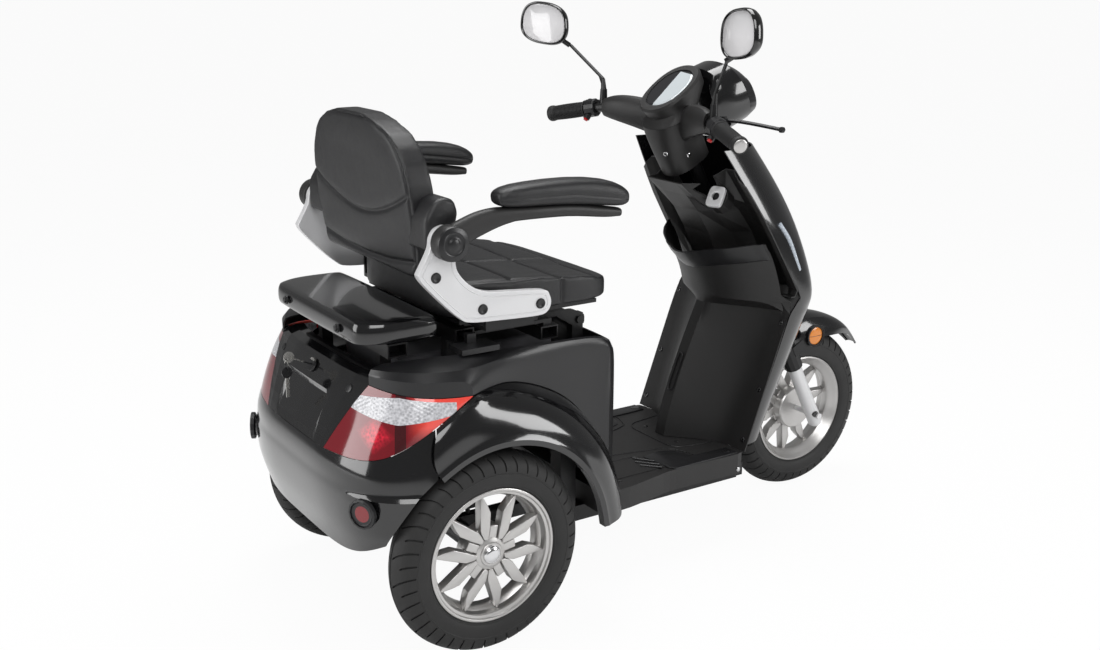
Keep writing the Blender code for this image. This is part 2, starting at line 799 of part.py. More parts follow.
def mirror_kink(side):
    return mirror_boss(side) + Vector((0.0, side * 0.003, 0.024))


def build_handlebar():
    bar = add("handlebar", pipe(bar_line(), BAR_RADIUS, 10), "satin_black", "steering")
    clamp = box((-0.020, -0.026, CLAMP_HEIGHT - 0.0195), (0.020, 0.026, CLAMP_HEIGHT + 0.017))
    join(bar, moved(clamp, STEER), "steering")
    for side in (-1, 1):
        perch = bar_place(side, PERCH_PLACE)
        pin = lever_pin(side)
        shelf = box(
            (perch.x, pin.y - LEVER_SHELF, pin.z - LEVER_BOSS - 0.006),
            (pin.x + 0.009, pin.y + LEVER_SHELF, pin.z - LEVER_BOSS),
        )
        join(bar, shelf, "steering")
        profile = [(0, -LEVER_BOSS - 0.003), (LEVER_PIN_RADIUS, -LEVER_BOSS - 0.003)]
        profile += [(LEVER_PIN_RADIUS, LEVER_BOSS + GAP), (0.008, LEVER_BOSS + GAP)]
        profile += [(0.008, LEVER_BOSS + 0.003), (0, LEVER_BOSS + 0.003)]
        join(bar, turned(profile, SHAFT_SIDES, Matrix.Translation(pin)), "steering")
        boss = mirror_boss(side)
        foot = perch + Vector((0.003, 0.0, 0.004))
        join(bar, rod(foot, boss, 0.010, 12, 0.0085), "steering")
        kink = mirror_kink(side)
        join(bar, rod(boss - Vector((0, 0, 0.002)), kink, 0.0070, 10, 0.0045), "steering")
        top = mirror_top(side)
        stem = [kink - Vector((0, 0, 0.012)), kink, mix(kink, top, 0.5), top]
        join(bar, pipe(stem, MIRROR_STEM_RADIUS, 6), "steering")


def build_grips():
    hole = bore(BAR_RADIUS)
    end = GRIP_LENGTH + GAP
    for side, name, carrier in ((1, "grip_left", "steering"), (-1, "throttle_grip", "throttle")):
        profile = [(hole, 0), (GRIP_RADIUS + 0.004, 0), (GRIP_RADIUS + 0.004, 0.004)]
        profile += [(GRIP_RADIUS, 0.007), (GRIP_RADIUS + 0.0015, 0.5 * end), (GRIP_RADIUS, end - 0.006)]
        profile += [(GRIP_RADIUS + 0.002, end - 0.003), (GRIP_RADIUS + 0.001, end + 0.004)]
        profile += [(0, end + 0.004), (0, end), (hole, end)]
        add(name, turned(profile, SHAFT_SIDES, along_bar(side, GRIP_LENGTH)), "rubber", carrier)


def button_frame(side):
    """A frame on the switch pod whose Z looks out along its button."""
    direction = Vector((-0.6, 0.0, -0.8))
    middle = bar_place(side, GRIP_LENGTH + 0.003 + POD_LENGTH / 2)
    turn = direction.to_track_quat("Z", "Y").to_matrix().to_4x4()
    return Matrix.Translation(middle) @ turn


def build_switch_pods():
    """Each pod clasps the bar beside its grip, and its button stands in a short barrel."""
    hole = bore(BAR_RADIUS)
    for side, name in ((1, "left"), (-1, "right")):
        profile = [(hole, 0), (POD_RADIUS - 0.003, 0), (POD_RADIUS, 0.003), (POD_RADIUS, POD_LENGTH - 0.003)]
        profile += [(POD_RADIUS - 0.003, POD_LENGTH), (hole, POD_LENGTH)]
        frame = along_bar(side, GRIP_LENGTH + 0.002 + POD_LENGTH)
        pod = add("switch_pod_" + name, turned(profile, 14, frame), "satin_black", "steering")
        inner = (BUTTON_RADIUS + BEARING_GAP) / math.cos(math.pi / 10)
        mouth = BUTTON_SEAT + 0.008
        barrel = [(0, 0.015), (BUTTON_RADIUS + 0.003, 0.015), (BUTTON_RADIUS + 0.003, mouth), (0, mouth)]
        join(pod, turned(barrel, 10, button_frame(side)), "steering")
        well = [(0, BUTTON_SEAT), (inner, BUTTON_SEAT), (inner, mouth + 0.01), (0, mouth + 0.01)]
        cut(pod, turned(well, 10, button_frame(side)), "steering")
        button = [(0, BUTTON_SEAT + BUTTON_TRAVEL + GAP), (BUTTON_RADIUS, BUTTON_SEAT + BUTTON_TRAVEL + GAP)]
        button += [(BUTTON_RADIUS, BUTTON_SEAT + 0.012), (0, BUTTON_SEAT + 0.013)]
        name = "horn_button" if side > 0 else "stop_button"
        add(name, turned(button, 10, button_frame(side)), "red_button", name + "_press")


def build_levers():
    """Each brake lever turns on the pin of its perch and ends in a ball."""
    for side, name in ((1, "left"), (-1, "right")):
        carrier = "brake_" + name
        pin = lever_pin(side)
        hole = bore(LEVER_PIN_RADIUS)
        ring = [(hole, -LEVER_BOSS + GAP), (0.0095, -LEVER_BOSS + GAP), (0.0095, LEVER_BOSS), (hole, LEVER_BOSS)]
        place = Matrix.Translation(pin)
        lever = add("brake_lever_" + name, turned(ring, SHAFT_SIDES, place), "satin_black", carrier)
        reach = [(0.008, 0.004, 0.0), (0.014, 0.030, 0.001), (0.022, 0.070, -0.001), (0.033, 0.115, -0.005)]
        reach.append((0.036, 0.141, -0.007))
        line = [pin + sided(Vector(p), side) for p in reach]
        join(lever, pipe([through(line, s) for s in spread(0, 1, 7)], 0.0045, 6), carrier)
        ball = [polar(0.0075, a) for a in spread(-90.0, 90.0, 5)]
        join(lever, turned(ball, 8, Matrix.Translation(line[-1])), carrier)


def build_mirrors():
    for side, name in ((1, "left"), (-1, "right")):
        carrier = "mirror_" + name
        centre = CLAMP + Vector(MIRROR_CENTRES[side])
        yaw = math.radians(MIRROR_YAW[side]) * side
        frame = Matrix.Translation(centre) @ Matrix.Rotation(yaw, 4, "Z")
        rings = []
        for scale, depth in MIRROR_PROFILE:
            ring = []
            for u, v in superellipse(MIRROR_HALF_WIDTH * scale, MIRROR_HALF_HEIGHT * scale, 2.5, 16):
                ring.append(frame @ Vector((depth, u, v)))
            rings.append(ring)
        head = add("mirror_head_" + name, loft(rings), "gloss_black", carrier)
        top = mirror_top(side)
        upward = (top - mirror_kink(side)).normalized()
        neck = top + upward * GAP
        join(head, pipe([neck, neck + upward * 0.012, frame @ Vector((0.014, 0, -0.010))], 0.0065, 8), carrier)


def steer_ring(rise, centre, half_a, half_b, power, count=16):
    """A closed outline square to the steering axis, at a rise from the handlebar's clamp."""
    return [steer_point(CLAMP_HEIGHT + rise, centre + a, b) for a, b in superellipse(half_a, half_b, power, count)]


def bar_bore(reach):
    """The space of the bar and its clamp with a running gap, to cut from what surrounds them."""
    line = [p for p in bar_line() if abs(p.y) < reach]
    return pipe(line, BAR_RADIUS + 0.0012, 10)


def build_column_cover():
    rings = []
    for rise, centre, half_a, half_b in COVER_SECTIONS:
        rings.append(steer_ring(rise, centre, half_a, half_b, 2.6))
    cover = add("column_cover", loft(rings), "matte_black", "steering")
    bends = [CLAMP] + [CLAMP + bend for bend in BAR_BENDS] + [bar_place(1, BAR_STRAIGHT)]
    for side in (-1, 1):
        wing = []
        for share, half_x, half_z in WING_SECTIONS:
            middle = sided(through(bends, share), side)
            outline = superellipse(half_x, half_z, 2.3, 14)
            wing.append([middle + Vector((a, 0.0, b)) for a, b in outline])
        join(cover, loft(wing), "steering")
    hole_foot = CLAMP_HEIGHT - 0.11
    stem_hole = [(0, hole_foot), (STEM_RADIUS + BEARING_GAP, hole_foot), (STEM_RADIUS + BEARING_GAP, CLAMP_HEIGHT)]
    stem_hole.append((0, CLAMP_HEIGHT))
    cut(cover, turned(stem_hole, SHAFT_SIDES, STEER), "steering")
    clamp = box((-0.0205, -0.0265, CLAMP_HEIGHT - 0.020), (0.0205, 0.0265, CLAMP_HEIGHT + 0.0175))
    cut(cover, moved(clamp, STEER), "steering")
    cut(cover, bar_bore(0.23), "steering")
    cut(cover, loft(pod_rings(0.5 * GAP, 0.0008)[:3]), "steering")


def pod_point(ahead, side, up):
    return POD_FRAME @ Vector((ahead, side, up))


def pod_rings(lift, margin):
    """The instrument pod's outlines, from its foot on the column cover to the recess of its dial."""
    rise, centre, half_a, half_b = COVER_SECTIONS[-1]
    rings = [steer_ring(rise + lift, centre, half_a + margin, half_b + margin, 2.6)]
    for up, half_a, half_b in POD_SECTIONS:
        outline = superellipse(half_a + margin, half_b + margin, 2.3, 16)
        rings.append([pod_point(a, b, up) for a, b in outline])
    return rings


def build_dash_pod():
    """The instrument pod stands on the column cover and tilts its oval dial to the rider."""
    add("dash_pod", loft(pod_rings(2 * GAP, 0.0)), "matte_black", "steering")
    seat, half_a, half_b = POD_SECTIONS[-1]
    rings = []
    for up, share in ((seat + GAP, 1.0), (seat + 0.004, 1.0), (seat + 0.006, 0.93)):
        outline = superellipse((half_a - 0.0008) * share, (half_b - 0.0008) * share, 2.3, 16)
        rings.append([pod_point(a, b, up) for a, b in outline])
    add("display_lens", loft(rings), "display", "steering")


def cowl_ring(ahead, rise, half_h, half_y):
    """A section of the headlight cowl, leaning round the instrument pod at its back."""
    ring = []
    for b, h in superellipse(half_y, half_h, 2.4, 16):
        lean = 0.75 * max(0.0, rise + h - 0.035) if ahead < 0.08 else 0.0
        ring.append(steer_point(CLAMP_HEIGHT + rise + h, ahead + lean, b))
    return ring


def build_headlight():
    add("headlight_cowl", loft([cowl_ring(*section) for section in COWL_SECTIONS]), "gloss_black", "steering")
    split = COWL_SECTIONS[-1]
    rings = [cowl_ring(split[0] + GAP, *split[1:])]
    rings += [cowl_ring(*section) for section in LAMP_SECTIONS]
    add("headlight_lens", loft(rings), "clear_lens", "steering")


# Frame and floor


def mirrored_boxes(obj, low, high, carrier):
    """Joins a box and its mirror image in the vehicle's middle plane."""
    for side in (-1, 1):
        ends = sorted((side * low[1], side * high[1]))
        join(obj, box((low[0], ends[0], low[2]), (high[0], ends[1], high[2])), carrier)


def build_main_frame():
    hole = bore(STEM_RADIUS)
    cup = HEAD_TUBE_RADIUS + 0.004
    low = CROWN_HEIGHT + CROWN_THICKNESS + GAP
    head = [(0, low), (cup, low), (cup, low + 0.02), (HEAD_TUBE_RADIUS, low + 0.02)]
    head += [(HEAD_TUBE_RADIUS, HEAD_TUBE_TOP - 0.02), (cup, HEAD_TUBE_TOP - 0.02), (cup, HEAD_TUBE_TOP)]
    head.append((0, HEAD_TUBE_TOP))
    frame = add("main_frame", turned(head, SHAFT_SIDES, STEER), "frame_steel", "moped")
    start = steer_point(0.5 * (low + HEAD_TUBE_TOP), -HEAD_TUBE_RADIUS + 0.004)
    route = [start, (0.326, 0, 0.440), (0.293, 0, 0.320), (0.281, 0, 0.220), (DOWN_TUBE_FOOT, 0, RAIL_TOP - 0.01)]
    join(frame, pipe([through(route, s) for s in spread(0, 1, 6)], 0.018, 10), "moped")
    neck = steer_point(HEAD_TUBE_TOP - 0.03, -HEAD_TUBE_RADIUS + 0.004)
    seat = Vector((neck_x(neck.z) + 0.0065, 0.0, neck.z))
    join(frame, rod(neck, seat, 0.009, 8, 0.005), "moped")
    inner, outer = RAIL_Y - RAIL_HALF, RAIL_Y + RAIL_HALF
    ladder = [(DOWN_TUBE_FOOT, RAIL_BOTTOM), (POST_X - RAIL_HALF, RAIL_BOTTOM)]
    ladder += [(POST_X - RAIL_HALF, AXLE_Z - 0.016), (PIVOT_X - 0.016, AXLE_Z - 0.016)]
    ladder += [(PIVOT_X - 0.016, AXLE_Z + 0.016), (POST_X - RAIL_HALF, AXLE_Z + 0.016)]
    ladder += [(POST_X - RAIL_HALF, DECK_TOP - 0.030), (FRAME_REAR, DECK_TOP - 0.030), (FRAME_REAR, DECK_TOP)]
    ladder += [(POST_X + RAIL_HALF, DECK_TOP), (POST_X + RAIL_HALF, RAIL_TOP), (DOWN_TUBE_FOOT, RAIL_TOP)]
    sides = [prism(ladder, *sorted((side * inner, side * outer)), "Y") for side in (-1, 1)]
    join(frame, box((DOWN_TUBE_FOOT - 0.022, 0.002 - outer, RAIL_BOTTOM + 0.002), (DOWN_TUBE_FOOT + 0.020, outer - 0.002, RAIL_TOP - 0.002)), "moped")
    join(frame, together(*sides), "moped")
    bars = []
    for x in (POST_X, FRAME_REAR + RAIL_HALF):
        low_end = (x - RAIL_HALF + 0.002, -inner - 0.004, DECK_TOP - 0.028)
        bars.append(box(low_end, (x + RAIL_HALF - 0.002, inner + 0.004, DECK_TOP - 0.002)))
    join(frame, together(*bars), "moped")
    for side in (-1, 1):
        pin = (Vector((PIVOT_X, side * outer, REAR_AXLE.z)), Vector((PIVOT_X, side * (outer + 0.036), REAR_AXLE.z)))
        join(frame, rod(pin[0] - Vector((0, side * 0.01, 0)), pin[1], PIVOT_PIN_RADIUS, SHAFT_SIDES), "moped")
    build_shock_mounts(frame, outer)
    build_seat_mounts(frame)
    build_panel_bosses(frame)
    bore_cut = [(0, low - 0.01), (hole, low - 0.01), (hole, HEAD_TUBE_TOP + 0.01), (0, HEAD_TUBE_TOP + 0.01)]
    cut(frame, turned(bore_cut, SHAFT_SIDES, STEER), "moped")


def build_shock_mounts(frame, outer):
    """The wide upper sleeves of both shock absorbers hang from brackets on the deck rails."""
    for side in (-1, 1):
        place = Matrix.Translation((SHOCK_X, side * SHOCK_Y, 0.0))
        wall = SPRING_RADIUS - SPRING_WIRE - 0.0025
        sleeve = [(SHOCK_BORE, SHOCK_TUBE_BOTTOM), (wall, SHOCK_TUBE_BOTTOM), (wall, SPRING_TOP)]
        sleeve += [(SPRING_RADIUS + 0.004, SPRING_TOP), (SPRING_RADIUS + 0.004, SPRING_TOP + 0.005)]
        sleeve += [(wall, SPRING_TOP + 0.005), (wall, SHOCK_TOP_Z), (SHOCK_BORE, SHOCK_TOP_Z)]
        join(frame, turned(sleeve, 14, place), "moped")
    mirrored_boxes(
        frame,
        (SHOCK_X - 0.014, outer - 0.003, SHOCK_TOP_Z - 0.010),
        (SHOCK_X + 0.014, SHOCK_Y + 0.016, SHOCK_TOP_Z + 0.006),
        "moped",
    )


def build_seat_mounts(frame):
    """Two front posts hold the seat's hinge pin, and two rear ones are its rests."""
    inner = HINGE_Y - HINGE_TAB / 2 - GAP
    mirrored_boxes(
        frame, (SEAT_HINGE_X - 0.014, inner - 0.020, DECK_TOP - 0.023), (SEAT_HINGE_X + 0.014, inner, HINGE_Z + 0.012), "moped"
    )
    join(frame, box((POST_X, -inner - 0.002, DECK_TOP - 0.026), (SEAT_HINGE_X + 0.012, inner + 0.002, DECK_TOP - 0.003)), "moped")
    reach = HINGE_Y + HINGE_TAB / 2 + GAP
    for side in (-1, 1):
        start = Vector((SEAT_HINGE_X, side * (inner - 0.01), HINGE_Z))
        end = Vector((SEAT_HINGE_X, side * (reach + 0.001), HINGE_Z))
        join(frame, rod(start, end, HINGE_PIN_RADIUS, SHAFT_SIDES), "moped")
        head = Vector((SEAT_HINGE_X, side * reach, HINGE_Z))
        join(frame, rod(head, head + Vector((0, side * 0.005, 0)), 0.009, 6), "moped")
    for x in CROSS_TUBE_X[1:]:
        top = cross_tube_bottom(x) - GAP
        mirrored_boxes(frame, (x - 0.012, RAIL_Y - 0.004, DECK_TOP - 0.005), (x + 0.012, RAIL_Y + 0.016, top), "moped")


def build_panel_bosses(frame):
    """Screw bosses that carry the rear panel and the bumper on the frame's last cross member."""
    for y, z in PANEL_BOSSES:
        x = rear_x(y, z) + 0.0078
        for side in (-1, 1):
            start = Vector((FRAME_REAR + 0.006, side * min(y, RAIL_Y), z))
            join(frame, rod(start, Vector((x, side * y, z)), 0.008, 8, 0.005), "moped")
    low = min(z for _, z in PANEL_BOSSES) - 0.01
    high = max(z for _, z in PANEL_BOSSES) + 0.01
    mirrored_boxes(frame, (FRAME_REAR + 0.001, RAIL_Y - 0.012, low), (FRAME_REAR + 0.013, RAIL_Y + 0.012, high), "moped")


def build_floor():
    """The foot board is a tray upside down, with a skirt all round and plug holes through it."""
    outline = [
        (FLOOR_FRONT, FLOOR_HALF_WIDTH),
        (0.030, FLOOR_HALF_WIDTH - 0.005),
        (-0.100, FLOOR_REAR_HALF_WIDTH - 0.002),
        (FLOOR_BACK, FLOOR_REAR_HALF_WIDTH),
    ]
    outline += [(x, -y) for x, y in reversed(outline)]
    floor = add("floor_board", prism(rounded(outline, 0.02), FLOOR_BOTTOM, FLOOR_TOP, "Z"), "matte_black", "moped")
    mat = [(MAT_FRONT, MAT_HALF_WIDTH), (MAT_BACK, MAT_HALF_WIDTH), (MAT_BACK, -MAT_HALF_WIDTH), (MAT_FRONT, -MAT_HALF_WIDTH)]
    join(floor, prism(rounded(mat, 0.02), FLOOR_TOP - 0.001, FLOOR_TOP + MAT_RISE, "Z"), "moped")
    inside = [(x - math.copysign(0.005, x - 0.05), y - math.copysign(0.006, y)) for x, y in outline]
    cut(floor, prism(inside, FLOOR_BOTTOM - 0.01, FLOOR_TOP - 0.006, "Z"), "moped")
    for x in (0.14, -0.02):
        rib = box((x - 0.003, -FLOOR_HALF_WIDTH + 0.004, FLOOR_BOTTOM), (x + 0.003, FLOOR_HALF_WIDTH - 0.004, FLOOR_TOP - 0.004))
        join(floor, rib, "moped")


# Leg shield, inner panel and front shield


def flange_x(z):
    return SHIELD_FOOT_X + (KNEE_X - SHIELD_FOOT_X) * (z - FLOOR_TOP) / (KNEE_Z - FLOOR_TOP)


def side_x(z):
    return 0.381 - 0.62 * (z - 0.6)


def shield_half(z):
    return along([(0.2, SHIELD_HALF_WIDTH), (0.75, SHIELD_HALF_WIDTH), (0.93, 0.163)], z)


def edge_x(z):
    """The rear edge of the whole shield, seen from the side."""
    return flange_x(z) if z <= KNEE_Z else side_x(z)


def neck_x(z):
    return along([(0.58, 0.306), (0.66, 0.272), (0.74, 0.235), (0.80, 0.190), (NECK_TOP, 0.145)], z)


def lower_wall_x(y, z):
    """The apron wall over the frame tube: a rounded nose with sides drawn in to the flange."""
    reach = along([(FLOOR_TOP, 0.125), (0.42, 0.155), (KNEE_Z, 0.172)], z)
    depth = along([(FLOOR_TOP, 0.115), (0.307, 0.129), (0.45, 0.122), (KNEE_Z, 0.108)], z)
    share = min(1.0, math.sqrt((y / reach) ** 2 + 0.004))
    return flange_x(z) - depth * (1.0 - share) ** 1.25


def pocket_x(y, share):
    """The pocket's wall, from its foot to its lip."""
    spread_out = (y / POCKET_HALF_WIDTH) ** 2
    foot = 0.262 + 0.103 * spread_out
    lip = 0.198 + 0.110 * spread_out
    return mix(foot, lip, share) + 0.010 * math.sin(math.pi * share)


def pocket_z(y, share):
    lip = 0.668 + 0.040 * abs(y) / POCKET_HALF_WIDTH
    return mix(POCKET_FOOT_Z, lip, share)


def build_leg_shield():
    rows = []
    columns = [-1.0, -0.92, -0.80, -0.62, -0.42, -0.22, -0.08, 0.08, 0.22, 0.42, 0.62, 0.80, 0.92, 1.0]
    for z in (FLOOR_TOP + 4 * GAP, 0.30, 0.42, 0.54):
        rows.append([Vector((lower_wall_x(SHIELD_HALF_WIDTH * c, z), SHIELD_HALF_WIDTH * c, z)) for c in columns])
    for share in (0.0, 0.12, 0.35, 0.65, 0.86, 0.88, 1.0):
        row = []
        for c in columns:
            y = c * mix(0.190, POCKET_HALF_WIDTH, min(1.0, share * 8))
            band = -0.003 if share > 0.87 else 0.0
            row.append(Vector((pocket_x(y, share) + band, y, pocket_z(y, share))))
        rows.append(row)
    sheet("leg_shield", rows, PANEL_WALL, "matte_black", "moped", (0.6, 0, 0.45))


def inner_x(y, z):
    """The inner panel: a neck in the middle, hollows beside it and raised side edges."""
    deep = along([(0.58, 0.400), (0.66, 0.372), (0.74, 0.330), (0.80, 0.290), (0.877, 0.240)], z)
    wide = along([(0.58, 0.040), (0.74, 0.044), (NECK_TOP, 0.070)], z)
    out = smooth((abs(y) - wide) / 0.045)
    x = mix(neck_x(min(z, NECK_TOP)), deep, out)
    return mix(x, side_x(z), smooth((abs(y) - 0.150) / 0.032))


def build_inner_panel():
    columns = [-0.200, -0.184, -0.168, -0.150, -0.115, -0.088, -0.066, -0.044, -0.015]
    columns += [-y for y in reversed(columns)]
    rows = [[], []]
    for y in columns:
        wall = pocket_x(min(abs(y), POCKET_HALF_WIDTH), 0.2) + PANEL_WALL + 0.0095
        front = inner_x(y, POCKET_FLOOR_Z + 0.012)
        rows[0].append(Vector((min(wall, front - 0.009), y, POCKET_FLOOR_Z)))
        rows[1].append(Vector((front - 0.004, y, POCKET_FLOOR_Z)))
    for share in (0.0, 0.25, 0.5, 0.72, 0.88, 1.0):
        row = []
        for y in columns:
            top = mix(NECK_TOP, EAR_TOP, smooth((abs(y) - 0.085) / 0.03))
            top -= 0.030 * smooth((abs(y) - 0.165) / 0.035)
            z = mix(POCKET_FLOOR_Z + 0.014, top, share)
            row.append(Vector((inner_x(y, z), y * shield_half(z) / SHIELD_HALF_WIDTH, z)))
        rows.append(row)
    panel = sheet("inner_panel", rows, PANEL_WALL, "matte_black", "moped", (0.7, 0, 0.70))
    boss = [(0, -0.030), (0.028, -0.030), (0.026, 0.0005), (0, 0.0005)]
    join(panel, turned(boss, 10, ignition_frame()), "moped")
    reach = IGNITION_RADIUS + 0.0015
    clear = [(0, -GAP), (reach, -GAP), (reach + 0.02, 0.05), (0, 0.05)]
    cut(panel, turned(clear, 16, ignition_frame()), "moped")


def build_front_shield():
    """The painted nose: a full front above the wheel, and two legs down to the floor."""
    heights = (0.235, 0.34, 0.45, 0.533, 0.538, 0.575, 0.65, 0.74, 0.83, 0.93)
    rows = []
    for z in heights:
        half = shield_half(z) - PANEL_WALL
        rear = edge_x(z) + NOSE_SEAM
        nose = along([(0.2, 0.34), (0.535, 0.515), (0.60, 0.520), (0.74, 0.470), (0.86, 0.400), (0.93, 0.345)], z)
        reach = 62.0 if z < 0.535 else 90.0
        row = []
        for side in (1, -1):
            part = []
            for turn in (0.0, 4.0, 14.0, 28.0, 45.0, 64.0, 84.0):
                angle = math.radians(turn * reach / 90.0)
                depth = (nose - rear) * math.sin(angle) ** (2 / 2.4)
                part.append(Vector((rear + depth, side * half * math.cos(angle) ** (2 / 2.4), z)))
            row += part if side > 0 else list(reversed(part))
        rows.append(row)
    build_split_front(rows)


def build_split_front(rows):
    """Below the nose, the sheet opens in the middle over the wheel."""
    bm = bmesh.new()
    verts = [[bm.verts.new(point) for point in row] for row in rows]
    middle = len(rows[0]) // 2 - 1
    for index in range(len(rows) - 1):
        for column in range(len(rows[0]) - 1):
            if column == middle and index < LEG_ROWS:
                continue
            corners = (verts[index][column], verts[index][column + 1])
            corners += (verts[index + 1][column + 1], verts[index + 1][column])
            bm.faces.new(corners)
    bm.normal_update()
    facing = sum(f.normal.dot(f.calc_center_median() - Vector((0.2, 0, 0.6))) * f.calc_area() for f in bm.faces)
    if facing < 0:
        bmesh.ops.reverse_faces(bm, faces=bm.faces)
    obj = add("front_shield", bm, "gloss_black", "moped")
    solidify(obj, PANEL_WALL)


def ignition_frame():
    """A frame on the ignition lock's boss whose Z looks out of it."""
    turn = Vector((-0.80, -0.25, 0.54)).to_track_quat("Z", "Y").to_matrix().to_4x4()
    return Matrix.Translation(IGNITION) @ turn


def build_ignition():
    """The ignition lock's plate with the barrel that the key turns."""
    frame = ignition_frame()
    hole = bore(BARREL_RADIUS)
    edge = IGNITION_RADIUS
    plate = [(hole, 0.0), (edge, 0.0), (edge, 0.006), (edge - 0.003, 0.008), (hole, 0.008)]
    add("ignition_plate", turned(plate, SHAFT_SIDES, frame), "chrome", "moped")
    barrel = [(0, 0.0), (BARREL_RADIUS, 0.0), (BARREL_RADIUS, 0.009), (0, 0.009)]
    add("ignition_barrel", turned(barrel, SHAFT_SIDES, frame), "satin_black", "ignition_turn")


# Rear body


def rear_size(z):
    """Half length, half width and squareness of the tail's plan at a height."""
    half_a = along(
        [(0.22, 0.265), (0.34, 0.280), (0.40, 0.285), (0.43, 0.277), (0.50, 0.250), (0.56, 0.222), (0.60, 0.190)], z
    )
    half_b = along([(0.25, 0.335), (0.31, 0.349), (0.40, 0.350), (0.49, 0.334), (0.564, 0.318), (0.60, 0.270)], z)
    return half_a, half_b, along([(0.25, 4.6), (0.40, 3.6)], z)


def rear_x(y, z):
    half_a, half_b, power = rear_size(z)
    return TAIL_CENTRE_X - half_a * (1.0 - (abs(y) / half_b) ** power) ** (1.0 / power)


def rear_skin(degrees, z, out=0.0):
    """A point of the tail: 0 degrees is the middle of the back, and 90 the widest place of the left side."""
    half_a, half_b, power = rear_size(z)
    angle = math.radians(abs(degrees))
    x = TAIL_CENTRE_X - (half_a + out) * math.cos(angle) ** (2 / power)
    y = (half_b + out) * math.sin(angle) ** (2 / power)
    return Vector((x, math.copysign(y, degrees), z))


def panel_half_width(z):
    """The rear panel widens towards its top, between the lamps."""
    return mix(PANEL_LOW_HALF_WIDTH, PANEL_HIGH_HALF_WIDTH, (z - PANEL_LOW_Z) / (LAMP_TOP_Z - PANEL_LOW_Z))


LOCK_NORMAL = Vector((-0.906, 0.0, 0.423))
LOCK_AT = Vector((rear_x(0.0, LOCK_Z), 0.0, LOCK_Z)) + 0.001 * LOCK_NORMAL
LOCK_FRAME = Matrix.Translation(LOCK_AT) @ LOCK_NORMAL.to_track_quat("Z", "Y").to_matrix().to_4x4()


def build_rear_panel():
    rows = []
    for z in (PANEL_LOW_Z + GAP, 0.445, 0.465, 0.49, 0.516, 0.527, 0.546, LAMP_TOP_Z):
        half = panel_half_width(z) - GAP
        recess = along([(PANEL_LOW_Z, 0.0), (0.445, 0.1), (0.49, 0.8), (0.516, 1.0), (0.527, 0.0)], z)
        row = []
        for y in (-half, -(half + 0.112) / 2, -0.106, -0.097, -0.088, 0.0, 0.088, 0.097, 0.106, (half + 0.112) / 2, half):
            sink = RECESS_DEPTH * recess if abs(y) < 0.09 else 0.0
            row.append(Vector((rear_x(y, z) + sink, y, z)))
        rows.append(row)
    for z, forward in ((0.574, 0.008), (0.580, 0.026), (0.581, 0.045)):
        rows.append([Vector((point.x + forward, point.y * (1 - forward), z)) for point in rows[7]])
    panel = sheet("rear_panel", rows, PANEL_WALL, "gloss_black", "moped", (-0.5, 0, 0.45))
    cut(panel, turned([(0, -0.02), (LOCK_RADIUS + 0.001, -0.02), (LOCK_RADIUS + 0.001, 0.02), (0, 0.02)], 16, LOCK_FRAME), "moped")


def lamp_angle(share, z):
    """The tail lamp's columns, from its inner edge to its tip."""
    half_b, power = rear_size(z)[1:]
    inner = math.degrees(math.asin(((panel_half_width(min(z, LAMP_TOP_Z)) + GAP) / half_b) ** (power / 2)))
    return mix(inner, LAMP_TIP_ANGLE, share)


def lamp_top(share):
    return mix(LAMP_TOP_Z, LAMP_TIP_Z, share)


def lamp_bottom(share):
    return along([(0.0, PANEL_LOW_Z), (0.45, 0.441), (0.78, 0.492), (1.0, LAMP_TIP_Z - 0.0015)], share)


def build_tail_lamps():
    for side, name in ((1, "left"), (-1, "right")):
        rows = []
        for up in spread(0.0, 1.0, 5):
            row = []
            for share in LAMP_SHARES:
                z = mix(lamp_bottom(share) + GAP, lamp_top(share) - GAP, up)
                out = LAMP_BULGE * math.sin(math.pi * up) * math.sin(math.pi * share)
                row.append(rear_skin(side * lamp_angle(share, z), z, out))
            rows.append(row)
        sheet("tail_lamp_" + name, rows, LAMP_WALL, "red_lens", "moped", (-0.52, 0, 0.40))


def lamp_edge(share):
    """The line that the bumper and the fender keep below the lamp, as an angle and a height."""
    z = lamp_bottom(share)
    return lamp_angle(share, z), z - LAMP_SEAM


def bumper_end(z):
    """Where the bumper's side stops: at the seam with the fender, or round the wheel."""
    seam_angle, seam_z = lamp_edge(SEAM_SHARE)
    if z >= seam_z:
        return seam_angle
    x = ARCH_X - math.sqrt(BUMPER_ARCH**2 - (min(z, SEAM_FOOT_Z) - ARCH_CENTRE_Z) ** 2)
    half_a, _, power = rear_size(z)
    return math.degrees(math.acos(((TAIL_CENTRE_X - x) / half_a) ** (power / 2)))


def build_rear_bumper():
    edge = [(4.0, PANEL_LOW_Z - LAMP_SEAM)] + [lamp_edge(share) for share in LAMP_SHARES[:6]] + [lamp_edge(SEAM_SHARE)]
    edge = [(-angle, z) for angle, z in reversed(edge)] + edge
    columns = [angle / edge[-1][0] for angle, _ in edge]
    rows = [[rear_skin(angle, z) for angle, z in edge]]
    for level, out in ((0.404, 0.002), (0.372, -0.001), (0.364, 0.003), (0.300, 0.002), (0.262, -0.003)):
        row = []
        for c in columns:
            z = level + (0.022 * c * c if level < 0.28 else 0.0)
            row.append(rear_skin(c * bumper_end(z), z, out))
        rows.append(row)
    lowest = []
    for c in columns:
        z = BUMPER_BOTTOM + 0.045 * c * c
        lowest.append(rear_skin(c * bumper_end(z), z, -0.010))
    rows.append(lowest)
    sheet("rear_bumper", rows, PANEL_WALL, "gloss_black", "moped", (-0.52, 0, 0.34))


